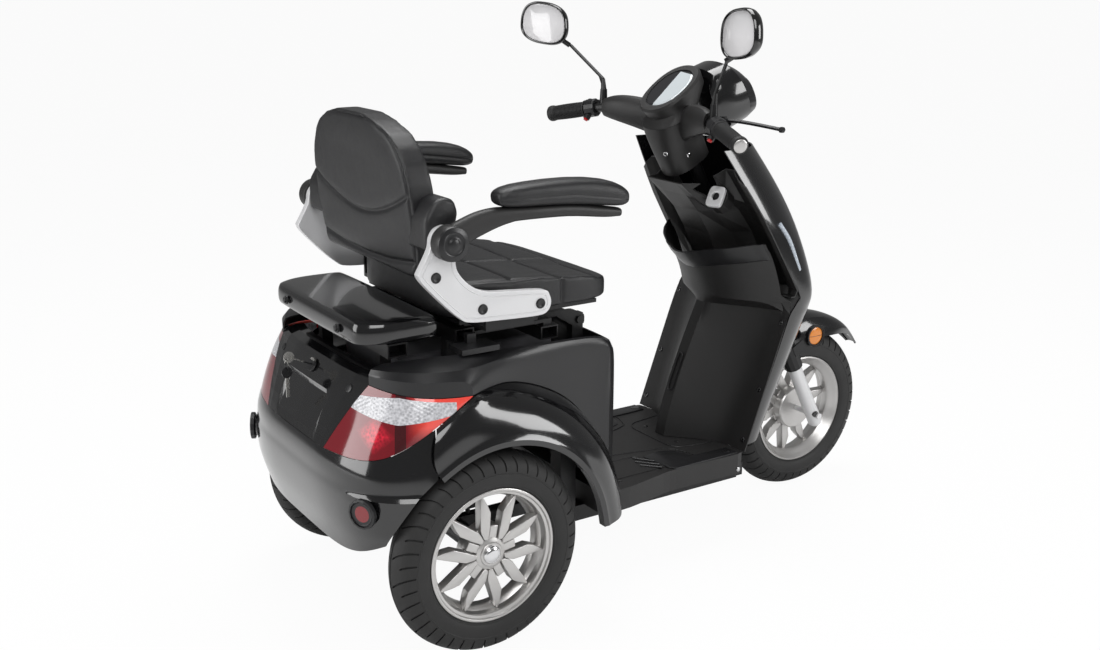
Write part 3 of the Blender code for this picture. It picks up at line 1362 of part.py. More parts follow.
def build_rear_reflectors():
    for side, name in ((1, "left"), (-1, "right")):
        centre = rear_skin(side * REFLECTOR_ANGLE, REFLECTOR_Z, 0.003)
        step = rear_skin(side * (REFLECTOR_ANGLE + 1), REFLECTOR_Z, 0.003) - centre
        normal = Vector((-abs(step.y), side * abs(step.x), 0)).normalized()
        frame = Matrix.Translation(centre - normal * REFLECTOR_SET) @ normal.to_track_quat("Z", "Y").to_matrix().to_4x4()
        bezel = [(0, 0), (0.024, 0), (REFLECTOR_RADIUS, 0.003), (REFLECTOR_RADIUS, 0.011), (0.026, 0.012)]
        bezel += [(0.025, 0.009), (0, 0.009)]
        add("rear_reflector_" + name, turned(bezel, 14, frame), "red_lens", "moped")


def groove():
    """The seam between side panel and fender, from the lamp's tip round to the foot board."""
    tip = rear_skin(LAMP_TIP_ANGLE, LAMP_TIP_Z)
    points = [tip, Vector((-0.505, 0.294, 0.5475)), Vector((-0.436, 0.264, 0.541)), Vector((-0.336, 0.248, 0.500))]
    points += [Vector((-0.274, 0.239, 0.457)), Vector((-0.223, 0.231, 0.398)), Vector((-0.189, 0.228, 0.336))]
    return points + [Vector((-0.174, 0.228, 0.283)), Vector((-0.170, 0.228, FLOOR_TOP + GAP))]


def shell_stations():
    """Top and bottom points of the body shell's left half, from the rear panel to the middle of its front."""
    pairs = []
    for share in (0.0, 0.2, 0.42, 0.62, 0.82):
        top = along([(0.0, Vector((-0.690, 0.205, 0.600))), (0.5, Vector((-0.620, 0.236, 0.607))), (1.0, Vector((-0.545, 0.245, 0.605)))], share)
        z = lamp_top(share) + 2 * GAP
        pairs.append((top, rear_skin(lamp_angle(share, z), z)))
    tops = [(-0.545, 0.245, 0.605), (-0.485, 0.245, 0.601), (-0.430, 0.243, 0.599), (-0.340, 0.236, 0.594)]
    tops += [(-0.275, 0.229, 0.590), (-0.225, 0.221, 0.585), (-0.192, 0.214, 0.579), (-0.178, 0.209, 0.573)]
    tops.append((-0.170, 0.205, 0.568))
    for top, low in zip(tops, groove()):
        pairs.append((Vector(top), low + Vector((0, 0, 2 * GAP)) if low.z > 0.23 else low))
    for y, x in ((0.192, 0.020), (0.165, 0.026), (0.080, 0.028), (0.0, 0.028)):
        pairs.append((Vector((-0.176 + x, y, 0.562)), Vector((-0.166 + x, y + 0.018 * (y > 0.1), FLOOR_TOP + GAP))))
    return pairs


def build_body_shell():
    """One moulding round the seat's base: its shoulder rolls over from the top rim into the sides."""
    columns = []
    for top, low in shell_stations():
        corner = Vector((low.x, low.y, top.z))
        drop = low - corner
        turn = corner + drop * min(0.45, 0.035 / max(drop.length, 0.001))
        column = [top * (1 - s) ** 2 + corner * 2 * s * (1 - s) + turn * s * s for s in (0.0, 0.3, 0.6, 1.0)]
        column += [mix(turn, low, 0.5), low]
        columns.append(column)
    columns += [[sided(point, -1) for point in column] for column in reversed(columns[:-1])]
    sheet("rear_body_shell", columns, PANEL_WALL, "satin_black", "moped", (-0.42, 0, 0.40))


def fender_stations():
    """The fender's upper edge with the angles of its lip round the wheel, from front to rear."""
    centre = Vector((ARCH_X, 0.0, ARCH_CENTRE_Z))
    points = []
    for point in reversed(groove()):
        inward = Vector((centre.x - point.x, 0.0, centre.z - point.z)).normalized() * 4 * GAP
        if point.z < 0.23:
            inward.z = 0.0
        points.append(point + inward)
    points[-1] += Vector((0.002, 0.0, -0.002))
    for share in (0.90, SEAM_SHARE + 0.006):
        angle, z = lamp_edge(share)
        points.append(rear_skin(angle, z))
    return list(zip(points, LIP_ANGLES))


def build_fenders():
    """Each fender swells from the groove out to a broad matte lip that turns in round the wheel."""
    for side, name in ((1, "left"), (-1, "right")):
        rows = []
        for start, degrees in fender_stations():
            x, z = polar(1.0, degrees)
            radial = Vector((x, 0.0, z))
            centre = Vector((ARCH_X, ARCH_HALF_WIDTH, ARCH_CENTRE_Z))
            end = centre + radial * (ARCH_OPENING + ARCH_LIP)
            out = start + Vector((0, 0.55 * (ARCH_HALF_WIDTH - start.y), 0))
            down = end + radial * 0.55 * min(0.08, (start - end).length)
            row = []
            for s in (0.0, 0.25, 0.5, 0.78, 1.0):
                row.append(start * (1 - s) ** 3 + out * 3 * s * (1 - s) ** 2 + down * 3 * s * s * (1 - s) + end * s**3)
            row.append(centre + radial * (ARCH_OPENING + 0.6 * ARCH_LIP) + Vector((0, 0.004, 0)))
            row.append(centre + radial * ARCH_OPENING + Vector((0, 0.003, 0)))
            row.append(centre + radial * ARCH_OPENING - Vector((0, 0.016, 0)))
            rows.append([sided(point, side) for point in row])
        sheet("fender_" + name, rows, PANEL_WALL, "gloss_black", "moped", (ARCH_X, side * 0.20, 0.30))


def build_battery():
    box_low = (BATTERY_BACK, -BATTERY_HALF_WIDTH, DECK_TOP + GAP)
    battery = add("battery_box", box(box_low, (BATTERY_FRONT, BATTERY_HALF_WIDTH, BATTERY_TOP)), "battery_grey", "moped")
    soften(battery, 0.004)


def build_boot_lock():
    """The lock in the rear panel with its key in it, and the spare that hangs from the key's ring."""
    profile = [(0, -0.026), (LOCK_RADIUS, -0.026), (LOCK_RADIUS, 0.001), (LOCK_RADIUS + 0.004, 0.001)]
    profile += [(LOCK_RADIUS + 0.003, 0.005), (0, 0.005)]
    lock = add("boot_lock", turned(profile, SHAFT_SIDES, LOCK_FRAME), "chrome", "boot_lock_turn")
    bow = LOCK_FRAME @ Vector((0, 0, KEY_REACH))
    blade = box((-0.0035, -0.0011, 0.003), (0.0035, 0.0011, KEY_REACH - 0.006))
    join(lock, moved(blade, LOCK_FRAME), "boot_lock_turn")
    join(lock, rod(bow - Vector((0, KEY_HALF, 0)), bow + Vector((0, KEY_HALF, 0)), BOW_RADIUS, 14), "boot_lock_turn")
    hole = key_hole()
    cut(lock, rod(hole - Vector((0, 0.01, 0)), hole + Vector((0, 0.01, 0)), KEY_HOLE, 10), "boot_lock_turn")
    ring = ring_seat() - Vector((0, 0, KEY_RING))
    line = []
    for degrees in spread(0.0, 337.5, 16):
        a, b = polar(KEY_RING, degrees)
        line.append(ring + Vector((0, a, b)))
    spare = add("spare_key", closed_pipe(line, KEY_WIRE, 5), "chrome", "spare_key_swing")
    low = ring - Vector((0, 0, KEY_RING + 0.7 * BOW_RADIUS))
    join(spare, rod(low - Vector((0, KEY_HALF, 0)), low + Vector((0, KEY_HALF, 0)), BOW_RADIUS, 14), "spare_key_swing")
    tip = low - Vector((0, 0, 0.052))
    join(spare, box(tip - Vector((0.0035, 0.0011, 0)), low + Vector((0.0035, 0.0011, -0.005))), "spare_key_swing")


def key_hole():
    return LOCK_FRAME @ Vector((0, 0, KEY_REACH)) + Vector((-0.0055, 0, -0.0045))


def ring_seat():
    """The middle of the ring's wire where it hangs on the lower edge of the key's hole."""
    return key_hole() - Vector((0, 0, KEY_HOLE - KEY_WIRE - 2 * GAP))


def closed_pipe(points, radius, sides):
    """A round ring that follows a closed line."""
    rings = []
    count = len(points)
    centre = sum(points, Vector()) / count
    for index, point in enumerate(points):
        ahead = (points[(index + 1) % count] - points[index - 1]).normalized()
        out = (point - centre).normalized()
        side = ahead.cross(out)
        turns = [2 * math.pi * k / sides for k in range(sides)]
        rings.append([point + (out * math.cos(t) + side * math.sin(t)) * radius for t in turns])
    bm = loft(rings, False)
    bm.verts.ensure_lookup_table()
    ring_faces(bm, bm.verts[-sides:], bm.verts[:sides], True)
    bmesh.ops.recalc_face_normals(bm, faces=bm.faces)
    return bm


# Rear axle


def build_rear_axle():
    """The live axle with its motor casing, on two arms that turn on the frame's pivot pins."""
    start = REAR_AXLE - Vector((0, REAR_TRACK / 2 - 0.048, 0))
    axle = add("rear_axle", rod(start, start + Vector((0, REAR_TRACK - 0.096, 0)), AXLE_TUBE_RADIUS, 16), "frame_steel", "rear_swing")
    casing = [(0, -0.060), (0.045, -0.060), (MOTOR_RADIUS, -0.040), (MOTOR_RADIUS, 0.040), (0.045, 0.060), (0, 0.060)]
    about_y = Matrix.Translation(REAR_AXLE) @ Matrix.Rotation(-math.pi / 2, 4, "X")
    join(axle, turned(casing, 14, about_y), "rear_swing")
    reach = REAR_TRACK / 2 + 0.0135
    ends = (REAR_AXLE - Vector((0, reach, 0)), REAR_AXLE + Vector((0, reach, 0)))
    join(axle, rod(*ends, AXLE_RADIUS, SHAFT_SIDES), "rear_swing")
    inner = RAIL_Y + RAIL_HALF + GAP
    hole = bore(PIVOT_PIN_RADIUS)
    for side in (-1, 1):
        ring = [(hole, 0), (0.020, 0), (0.020, 0.029), (hole, 0.029)]
        eye = Matrix.Translation((PIVOT_X, side * (inner + 0.0145), REAR_AXLE.z)) @ Matrix.Rotation(-math.pi / 2, 4, "X")
        join(axle, turned(ring, SHAFT_SIDES, eye @ Matrix.Translation((0, 0, -0.0145))), "rear_swing")
        place = Matrix.Translation((SHOCK_X, side * SHOCK_Y, 0.0))
        shaft = [(0, SHOCK_EYE_Z - 0.012), (0.005, SHOCK_EYE_Z - 0.012), (0.005, SPRING_FOOT - 0.006)]
        shaft += [(SPRING_RADIUS + 0.004, SPRING_FOOT - 0.006), (SPRING_RADIUS + 0.004, SPRING_FOOT)]
        shaft += [(0.005, SPRING_FOOT), (0.005, SHOCK_ROD_TOP), (0, SHOCK_ROD_TOP)]
        join(axle, turned(shaft, 10, place), "rear_swing")
    arm = (REAR_AXLE_X, inner + 0.001, REAR_AXLE.z - 0.014), (PIVOT_X - 0.0185, inner + 0.028, REAR_AXLE.z + 0.014)
    mirrored_boxes(axle, *arm, "rear_swing")
    lug = (REAR_AXLE_X, SHOCK_Y - 0.010, SHOCK_EYE_Z - 0.020), (SHOCK_X + 0.012, SHOCK_Y + 0.010, SHOCK_EYE_Z)
    mirrored_boxes(axle, *lug, "rear_swing")


def build_springs():
    """Each spring is one unbroken wire, whose coils keep a clear gap to each other."""
    low = SPRING_FOOT + GAP + SPRING_WIRE
    high = SPRING_TOP - GAP - SPRING_WIRE
    steps = 8 * SPRING_TURNS
    for side, name in ((1, "left"), (-1, "right")):
        points = []
        for index in range(steps + 1):
            x, y = polar(SPRING_RADIUS, 360.0 * SPRING_TURNS * index / steps)
            points.append((SHOCK_X + x, side * SHOCK_Y + y, mix(low, high, index / steps)))
        tube("rear_spring_" + name, points, SPRING_WIRE, 1, "spring_orange", "moped")
    print("least gap between coils, mm:", round(1000 * ((high - low) / SPRING_TURNS - 2 * SPRING_WIRE), 2))


# Seat


def cross_tube_bottom(x):
    return CROSS_TUBE_Z[CROSS_TUBE_X.index(x)] - CROSS_TUBE_HEIGHT / 2


def build_seat_base():
    """A welded frame of square tubes, open at their ends, on the hinge at the front of the body."""
    base = None
    half_x, half_z = CROSS_TUBE_WIDTH / 2, CROSS_TUBE_HEIGHT / 2
    for x, z in zip(CROSS_TUBE_X, CROSS_TUBE_Z):
        tube = box((x - half_x, -CROSS_TUBE_REACH, z - half_z), (x + half_x, CROSS_TUBE_REACH, z + half_z))
        if base:
            join(base, tube, "seat_flip")
        else:
            base = add("seat_base", tube, "frame_steel", "seat_flip")
    low, high = HINGE_Y - 0.022, HINGE_Y + HINGE_TAB / 2
    mirrored_boxes(base, (CROSS_TUBE_X[-1], low, 0.606), (SEAT_HINGE_X - 0.034, high, 0.6175), "seat_flip")
    tab = [(-0.016, -0.012), (0.014, -0.012), (0.014, 0.010), (-0.020, 0.0265), (-0.060, 0.0265), (-0.060, 0.015)]
    outline = rounded([(SEAT_HINGE_X + x, HINGE_Z + z) for x, z in tab], 0.006)
    for side in (-1, 1):
        ends = sorted((side * (HINGE_Y - HINGE_TAB / 2), side * (HINGE_Y + HINGE_TAB / 2)))
        join(base, prism(outline, ends[0], ends[1], "Y"), "seat_flip")
    strip = (CROSS_TUBE_X[1], RAIL_STRIP_Y - 0.010, 0.621), (CROSS_TUBE_X[0] + 0.010, RAIL_STRIP_Y + 0.010, 0.628)
    mirrored_boxes(base, *strip, "seat_flip")
    step = (CROSS_TUBE_X[0] - 0.010, RAIL_STRIP_Y - 0.010, 0.610), (CROSS_TUBE_X[0] + 0.010, RAIL_STRIP_Y + 0.010, 0.622)
    mirrored_boxes(base, *step, "seat_flip")
    mirrored_boxes(base, (CROSS_TUBE_X[2] - 0.012, 0.085, 0.62), (CROSS_TUBE_X[2] + 0.012, 0.115, PLATE_TOP - 0.004 - GAP), "seat_flip")
    for side in (-1, 1):
        start = Vector((SEAT_HINGE_X, side * (HINGE_Y - 0.01), HINGE_Z))
        cut(base, rod(start, start + Vector((0, side * 0.02, 0)), bore(HINGE_PIN_RADIUS), SHAFT_SIDES), "seat_flip")
        for x, z in zip(CROSS_TUBE_X, CROSS_TUBE_Z):
            ends = sorted((side * (CROSS_TUBE_REACH - 0.030), side * (CROSS_TUBE_REACH + 0.01)))
            hollow = box((x - half_x + 0.003, ends[0], z - half_z + 0.003), (x + half_x - 0.003, ends[1], z + half_z - 0.003))
            cut(base, hollow, "seat_flip")


def build_seat_release():
    """A pull handle whose shaft runs in the open end of the middle cross tube."""
    carrier = "seat_release_pull"
    x, z = CROSS_TUBE_X[1], CROSS_TUBE_Z[1]
    end = -CROSS_TUBE_REACH
    grip = box((x - 0.042, end - 0.062, z - 0.020), (x + 0.042, end - 0.010, z - 0.009))
    pull = add("seat_release", grip, "satin_black", carrier)
    join(pull, box((x - 0.010, end - 0.026, z - 0.016), (x + 0.010, end - 0.0125, z + 0.0095)), carrier)
    join(pull, rod((x, end - 0.020, z), (x, end + 0.026, z), 0.007, 10), carrier)


def build_luggage_plate():
    outline = [(PLATE_BACK, PLATE_HALF_WIDTH - 0.030), (PLATE_BACK + 0.05, PLATE_HALF_WIDTH), (PLATE_FRONT, PLATE_HALF_WIDTH)]
    outline += [(x, -y) for x, y in reversed(outline)]
    ring = rounded(outline, 0.020)
    middle = Vector(((PLATE_BACK + PLATE_FRONT) / 2, 0))

    def drawn(margin, z):
        points = []
        for x, y in ring:
            scale_x = 1 - margin / (0.5 * (PLATE_FRONT - PLATE_BACK))
            points.append(Vector((middle.x + (x - middle.x) * scale_x, y * (1 - margin / PLATE_HALF_WIDTH), z)))
        return points

    rings = [drawn(0.003, PLATE_BOTTOM), drawn(0.0, PLATE_BOTTOM + 0.006), drawn(0.0, PLATE_TOP - 0.012)]
    rings += [drawn(0.004, PLATE_TOP - 0.003), drawn(0.012, PLATE_TOP)]
    plate = add("luggage_plate", loft(rings), "gloss_black", "seat_flip")
    cut(plate, loft([drawn(0.007, PLATE_BOTTOM - 0.01), drawn(0.012, PLATE_TOP - 0.004)]), "seat_flip")


def build_seat_pan():
    """The pressed pan under the cushion, with its sliders and the arms that carry the side brackets."""
    top = CUSHION_BOTTOM - GAP
    pan = add("seat_pan", box((-0.520, -0.200, 0.6485), (-0.190, 0.200, top)), "frame_steel", "seat_slide")
    strip = (-0.505, RAIL_STRIP_Y - 0.010, 0.641), (-0.316, RAIL_STRIP_Y + 0.010, 0.650)
    mirrored_boxes(pan, *strip, "seat_slide")
    mirrored_boxes(pan, (-0.440, RAIL_STRIP_Y - 0.008, 0.628 + GAP), (-0.330, RAIL_STRIP_Y + 0.008, 0.643), "seat_slide")
    inner = BRACKET_OUTER_Y - BRACKET_THICKNESS - GAP
    mirrored_boxes(pan, (-0.500, 0.190, 0.6485), (-0.390, inner, top), "seat_slide")
    mirrored_boxes(pan, (-0.500, inner - 0.006, 0.650), (-0.390, inner, 0.722), "seat_slide")


def bracket_outline():
    """The side bracket: a foot along the cushion, a knee, and an upright to the hub."""
    foot = [(-0.654, 0.782), (-0.645, 0.766), (-0.567, 0.687), (-0.543, 0.677), (-0.391, 0.669), (-0.361, 0.691)]
    foot += [(-0.376, 0.721), (-0.514, 0.730), (-0.584, 0.785)]
    for degrees in spread(-20.0, 200.0, 7):
        a, b = polar(0.029, degrees)
        foot.append((BACK_HUB.x + a, BACK_HUB.z + b))
    return foot


def build_seat_brackets():
    for side, name in ((1, "left"), (-1, "right")):
        ends = sorted((side * (BRACKET_OUTER_Y - BRACKET_THICKNESS), side * BRACKET_OUTER_Y))
        bracket = add("seat_bracket_" + name, prism(bracket_outline(), ends[0], ends[1], "Y"), "silver_paint", "seat_slide")
        start = BACK_HUB + Vector((0, side * (BACK_HALF_WIDTH + 0.018), 0))
        end = BACK_HUB + Vector((0, side * (BRACKET_OUTER_Y + 0.026), 0))
        join(bracket, rod(start, end, HUB_PIN_RADIUS, SHAFT_SIDES), "seat_slide")
        for x, z in ((-0.613, 0.774), (-0.514, 0.700), (-0.382, 0.694)):
            cap = Vector((x, side * (BRACKET_OUTER_Y - 0.004), z))
            join(bracket, rod(cap, cap + Vector((0, side * 0.007, 0)), 0.0085, 8), "seat_slide")


def pillow(front, back):
    """A closed soft form between two grids of points that share their outline."""
    bm = bmesh.new()
    top = [[bm.verts.new(point) for point in row] for row in front]
    low = []
    for i, row in enumerate(back):
        line = []
        for j, point in enumerate(row):
            edge = i in (0, len(back) - 1) or j in (0, len(row) - 1)
            line.append(top[i][j] if edge else bm.verts.new(point))
        low.append(line)
    for grid in (top, low):
        for first, second in zip(grid, grid[1:]):
            ring_faces(bm, first, second, False)
    corners = [(0, 0, 1, 1), (0, -1, 1, -2), (-1, 0, -2, 1), (-1, -1, -2, -2)]
    for grid in (top, low):
        for i, j, k, m in corners:
            corner, inner = grid[i][j], grid[k][m]
            face = next(f for f in inner.link_faces if corner in f.verts)
            bmesh.utils.face_split(face, corner, inner)
    bmesh.ops.recalc_face_normals(bm, faces=bm.faces)
    return bm


def channel(place, channels, depth):
    """How far a sewn channel draws the cover in at a place along the cushion."""
    return depth * max(0.0, 1.0 - min(abs(place - c) for c in channels) / 0.016)


def build_cushion():
    """The seat cushion: crowned, with drawn-in sides and channels sewn across it."""
    back, front = SEAT_REAR_X, SEAT_FRONT_X
    channels = [mix(back, front, share) for share in (0.32, 0.50, 0.68, 0.85)]
    places = sorted([back, mix(back, front, 0.05), mix(back, front, 0.19), front, mix(back, front, 0.96)] + channels
                    + [(a + b) / 2 for a, b in zip(channels, channels[1:])] + [mix(back, front, 0.92)])
    tops, lows = [], []
    for x in places:
        u = 2 * (x - back) / (front - back) - 1
        top_row, low_row = [], []
        for v in (-1.0, -0.94, -0.75, -0.45, -0.15, 0.15, 0.45, 0.75, 0.94, 1.0):
            half = SEAT_HALF_WIDTH * (1 - 0.06 * u * u - 0.05 * max(u, 0) ** 4) - 0.006 * (1 - abs(u))
            side = 1 - abs(v) ** 4
            ends = 1 - abs(u) ** 6
            crown = along([(back, 0.098), (mix(back, front, 0.5), 0.082), (front, 0.040)], x)
            round_off = (side * ends) ** 0.35
            waist = along([(-1.0, 0.725), (1.0, 0.682)], u)
            top = waist + (CUSHION_BOTTOM + crown - waist) * round_off
            top -= channel(x, channels, 0.005) * round_off
            low = waist - (waist - CUSHION_BOTTOM) * min(1.0, 1.6 * round_off)
            shrink = 1 - 0.02 * (1 - abs(v) ** 2)
            top_row.append(Vector((x, v * half * shrink, top if round_off > 0.02 else waist)))
            low_row.append(Vector((x, v * half * shrink, max(low, CUSHION_BOTTOM))))
        tops.append(top_row)
        lows.append(low_row)
    add("seat_cushion", pillow(tops, lows), "leather", "seat_slide")


def back_x(z):
    """The backrest's rear face, from its foot to its top."""
    return along([(BACK_BOTTOM, -0.640), (0.84, -0.655), (0.95, -0.668), (BACK_TOP, -0.672)], z)


def build_backrest():
    """The padded back: rounded at its top, thicker in the middle, and hung from plates at its sides."""
    heights = spread(BACK_BOTTOM, BACK_TOP, 11)
    channels = [heights[i] for i in (2, 4, 6, 8)]
    fronts, rears = [], []
    for z in heights:
        u = (z - BACK_BOTTOM) / (BACK_TOP - BACK_BOTTOM)
        half = BACK_HALF_WIDTH * along([(0.0, 0.90), (0.08, 0.955), (0.35, 1.0), (0.65, 0.97), (0.85, 0.83), (0.95, 0.63), (1.0, 0.40)], u)
        front_row, rear_row = [], []
        for v in (-1.0, -0.92, -0.7, -0.35, 0.0, 0.35, 0.7, 0.92, 1.0):
            fullness = ((1 - abs(v) ** 4) * (1 - abs(2 * u - 1) ** 8)) ** 0.4
            middle = back_x(z) + 0.036 + 0.018 * v * v
            pad = 0.040 * fullness + 0.010 * (1 - u) * fullness
            pad -= channel(z, channels, 0.005) * fullness
            rear = 0.036 * fullness + 0.006 * math.sin(math.pi * u) * (1 - v * v)
            front_row.append(Vector((middle + pad, v * half, z)))
            rear_row.append(Vector((middle - rear, v * half, z)))
        fronts.append(front_row)
        rears.append(rear_row)
    back = add("backrest", pillow(fronts, rears), "leather", "back_fold")
    hole = bore(HUB_PIN_RADIUS)
    outer = BRACKET_OUTER_Y - BRACKET_THICKNESS - GAP
    for side in (-1, 1):
        outline = [(-0.034, -0.022), (0.018, -0.022), (0.026, 0.0), (0.036, 0.048), (0.026, 0.076), (-0.012, 0.070), (-0.036, 0.024)]
        outline = rounded([(BACK_HUB.x + x, BACK_HUB.z + z) for x, z in outline], 0.02, 1)
        ends = sorted((side * (BACK_HALF_WIDTH - 0.030), side * outer))
        join(back, prism(outline, ends[0], ends[1], "Y"), "back_fold")
        start = BACK_HUB + Vector((0, side * (BACK_HALF_WIDTH + 0.016), 0))
        cut(back, rod(start, start + Vector((0, side * 0.05, 0)), hole, SHAFT_SIDES), "back_fold")


def arm_ring(x, y, z, half_y, half_z, power=3.2, count=10):
    return [Vector((x, y + a, z + b)) for a, b in superellipse(half_y, half_z, power, count)]


def build_armrests():
    """Each arm turns on the hub pin, lies on its stop and carries a long padded rest."""
    hole = bore(HUB_PIN_RADIUS)
    for side, name in ((1, "left"), (-1, "right")):
        carrier = "armrest_" + name
        inner = BRACKET_OUTER_Y + GAP
        ring = [(hole, inner), (0.031, inner), (0.033, inner + 0.003), (0.033, inner + 0.027), (0.030, inner + 0.030)]
        ring += [(0, inner + 0.030), (0, inner + 0.0265), (hole, inner + 0.0265)]
        about_y = Matrix.Translation((BACK_HUB.x, 0, BACK_HUB.z)) @ Matrix.Rotation(-side * math.pi / 2, 4, "X")
        arm = add("armrest_arm_" + name, turned(ring, SHAFT_SIDES, about_y), "matte_black", carrier)
        y = side * (inner + 0.0148)
        rings = []
        for x, z, half_z in ARM_SECTIONS:
            rings.append(arm_ring(x, y, z, 0.012, half_z))
        join(arm, loft(rings), carrier)
        rings = []
        for x, low, high, half_y in PAD_SECTIONS:
            rings.append(arm_ring(x, side * ARM_Y, (low + high) / 2, half_y, (high - low) / 2, 2.8, 16))
        add("armrest_pad_" + name, loft(rings), "leather", carrier)


def build_brake_cable():
    """The front brake's cable, from the right perch down into the nose."""
    start = lever_pin(-1) + Vector((0.0, LEVER_SHELF + GAP, -LEVER_BOSS - 0.003))
    route = [start, start + Vector((0.006, 0.012, -0.004)), (0.180, -0.164, 0.966), (0.225, -0.146, 0.938)]
    route += [(0.268, -0.136, 0.905), (0.300, -0.130, 0.860), (0.320, -0.128, 0.800)]
    points = [start, start + Vector((0.0, CABLE_RADIUS, 0.0))]
    points += [through(route, s) for s in spread(0.08, 1.0, 18)]
    tube("brake_cable", points, CABLE_RADIUS, 2, "rubber", "steering")


def centre_on_ground():
    """Moves the whole vehicle so that the origin lies under the middle of its length."""
    bpy.context.view_layer.update()
    graph = bpy.context.evaluated_depsgraph_get()
    places = []
    for obj in bpy.context.scene.objects:
        if obj.type == "MESH" and not obj.hide_render:
            done = obj.evaluated_get(graph)
            places += [(done.matrix_world @ Vector(corner)).x for corner in done.bound_box]
    PIVOTS["moped"][0].location.x = -(min(places) + max(places)) / 2


def main_build():
    clear_scene()
    pivot("moped", (0, 0, 0))
    pivot("steering", CLAMP, "moped")
    pivot("fork_slide", FRONT_AXLE, "steering")
    pivot("throttle", bar_place(-1, 0.0), "steering")
    for side, name in ((1, "left"), (-1, "right")):
        pivot("brake_" + name, lever_pin(side), "steering")
        pivot("mirror_" + name, mirror_top(side), "steering")
    pivot("horn_button_press", button_frame(1).translation, "steering")
    pivot("stop_button_press", button_frame(-1).translation, "steering")
    pivot("ignition_turn", IGNITION, "moped")
    pivot("boot_lock_turn", LOCK_FRAME.translation, "moped")
    pivot("spare_key_swing", ring_seat(), "boot_lock_turn")
    pivot("rear_swing", (PIVOT_X, 0, REAR_AXLE.z), "moped")
    pivot("seat_flip", (SEAT_HINGE_X, 0, HINGE_Z), "moped")
    pivot("seat_release_pull", (CROSS_TUBE_X[1], -CROSS_TUBE_REACH, CROSS_TUBE_Z[1]), "seat_flip")
    pivot("seat_slide", (SEAT_REAR_X, 0, CUSHION_BOTTOM), "seat_flip")
    pivot("back_fold", BACK_HUB, "seat_slide")
    for side, name in ((1, "left"), (-1, "right")):
        centre = REAR_AXLE + Vector((0, side * REAR_TRACK / 2, 0))
        pivot("rear_wheel_" + name, centre, "rear_swing")
        pivot("armrest_" + name, BACK_HUB, "seat_slide")
        add_wheel("rear_" + name, centre, side, "rear_wheel_" + name, False)
    pivot("front_wheel", FRONT_AXLE, "fork_slide")
    add_wheel("front", FRONT_AXLE, -1, "front_wheel", True)
    build_rear_axle()
    build_springs()
    build_rear_panel()
    build_tail_lamps()
    build_rear_bumper()
    build_rear_reflectors()
    build_body_shell()
    build_fenders()
    build_battery()
    build_boot_lock()
    build_seat_base()
    build_seat_release()
    build_luggage_plate()
    build_seat_pan()
    build_seat_brackets()
    build_cushion()
    build_backrest()
    build_armrests()
    build_brake_cable()
    build_fork()
    build_mudguard()
    build_handlebar()
    build_grips()
    build_switch_pods()
    build_levers()
    build_mirrors()
    build_column_cover()
    build_dash_pod()
    build_headlight()
    build_main_frame()
    build_floor()
    build_leg_shield()
    build_inner_panel()
    build_front_shield()
    build_ignition()
    centre_on_ground()


main_build()
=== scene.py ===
"""Looks of a three-wheeled electric moped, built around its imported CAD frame."""

import json
import math
from contextlib import contextmanager
from functools import cache

import bmesh
import bpy
import numpy as np
from bpy.props import FloatProperty, FloatVectorProperty, IntProperty, PointerProperty
from mathutils import Matrix, Vector
from mathutils.bvhtree import BVHTree

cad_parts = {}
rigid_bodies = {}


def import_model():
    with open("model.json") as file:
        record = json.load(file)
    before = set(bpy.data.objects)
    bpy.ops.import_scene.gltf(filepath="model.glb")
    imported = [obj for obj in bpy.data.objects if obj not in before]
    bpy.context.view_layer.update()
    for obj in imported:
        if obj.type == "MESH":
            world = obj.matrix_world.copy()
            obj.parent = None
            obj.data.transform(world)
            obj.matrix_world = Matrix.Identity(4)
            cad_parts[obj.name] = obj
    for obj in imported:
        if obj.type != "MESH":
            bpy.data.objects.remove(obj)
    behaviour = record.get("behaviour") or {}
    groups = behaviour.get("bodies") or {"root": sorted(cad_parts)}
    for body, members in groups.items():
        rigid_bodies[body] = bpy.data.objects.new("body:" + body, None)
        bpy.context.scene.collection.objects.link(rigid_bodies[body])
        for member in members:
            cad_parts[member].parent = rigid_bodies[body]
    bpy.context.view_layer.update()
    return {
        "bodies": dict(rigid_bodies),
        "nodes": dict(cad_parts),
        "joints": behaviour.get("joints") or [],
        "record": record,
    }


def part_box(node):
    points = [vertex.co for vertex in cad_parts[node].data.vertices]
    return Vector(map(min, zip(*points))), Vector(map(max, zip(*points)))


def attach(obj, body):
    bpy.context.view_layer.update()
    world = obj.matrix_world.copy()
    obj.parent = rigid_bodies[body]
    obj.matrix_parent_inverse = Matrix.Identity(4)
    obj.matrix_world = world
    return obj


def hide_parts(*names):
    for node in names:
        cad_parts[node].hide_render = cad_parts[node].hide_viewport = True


bl_info = {
    "name": "Electric Moped Looks",
    "version": (1, 0, 0),
    "blender": (4, 5, 0),
    "location": "View3D > Sidebar > Moped",
    "description": "Dresses the moped's frame with its finished panels, seat, wheels and lamps",
    "category": "Object",
}

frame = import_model()
NODES = frame["nodes"]
BODY_OF = {node: body for body, group in frame["record"]["behaviour"]["bodies"].items() for node in group}
SLOT_OF = {entry["node"]: entry["material_slot"] for entry in frame["record"]["subparts"]}
SIDES = ((1, "left"), (-1, "right"))
HUB = (-0.593, 0.84)  # the axis of the back's and the arms' hubs, forward and up
ARM_SIDE = 0.3  # an arm's middle, from the part's middle


# Shader maths


def maths(operation, turned=False):
    """An operator or a method of a wire, which adds a Math node. Turned, the wire is its second value."""

    def added(wire, other=0.0):
        pair = (other, wire) if turned else (wire, other)
        return wire.paint.node("ShaderNodeMath", {"operation": operation}, dict(enumerate(pair)))

    return added


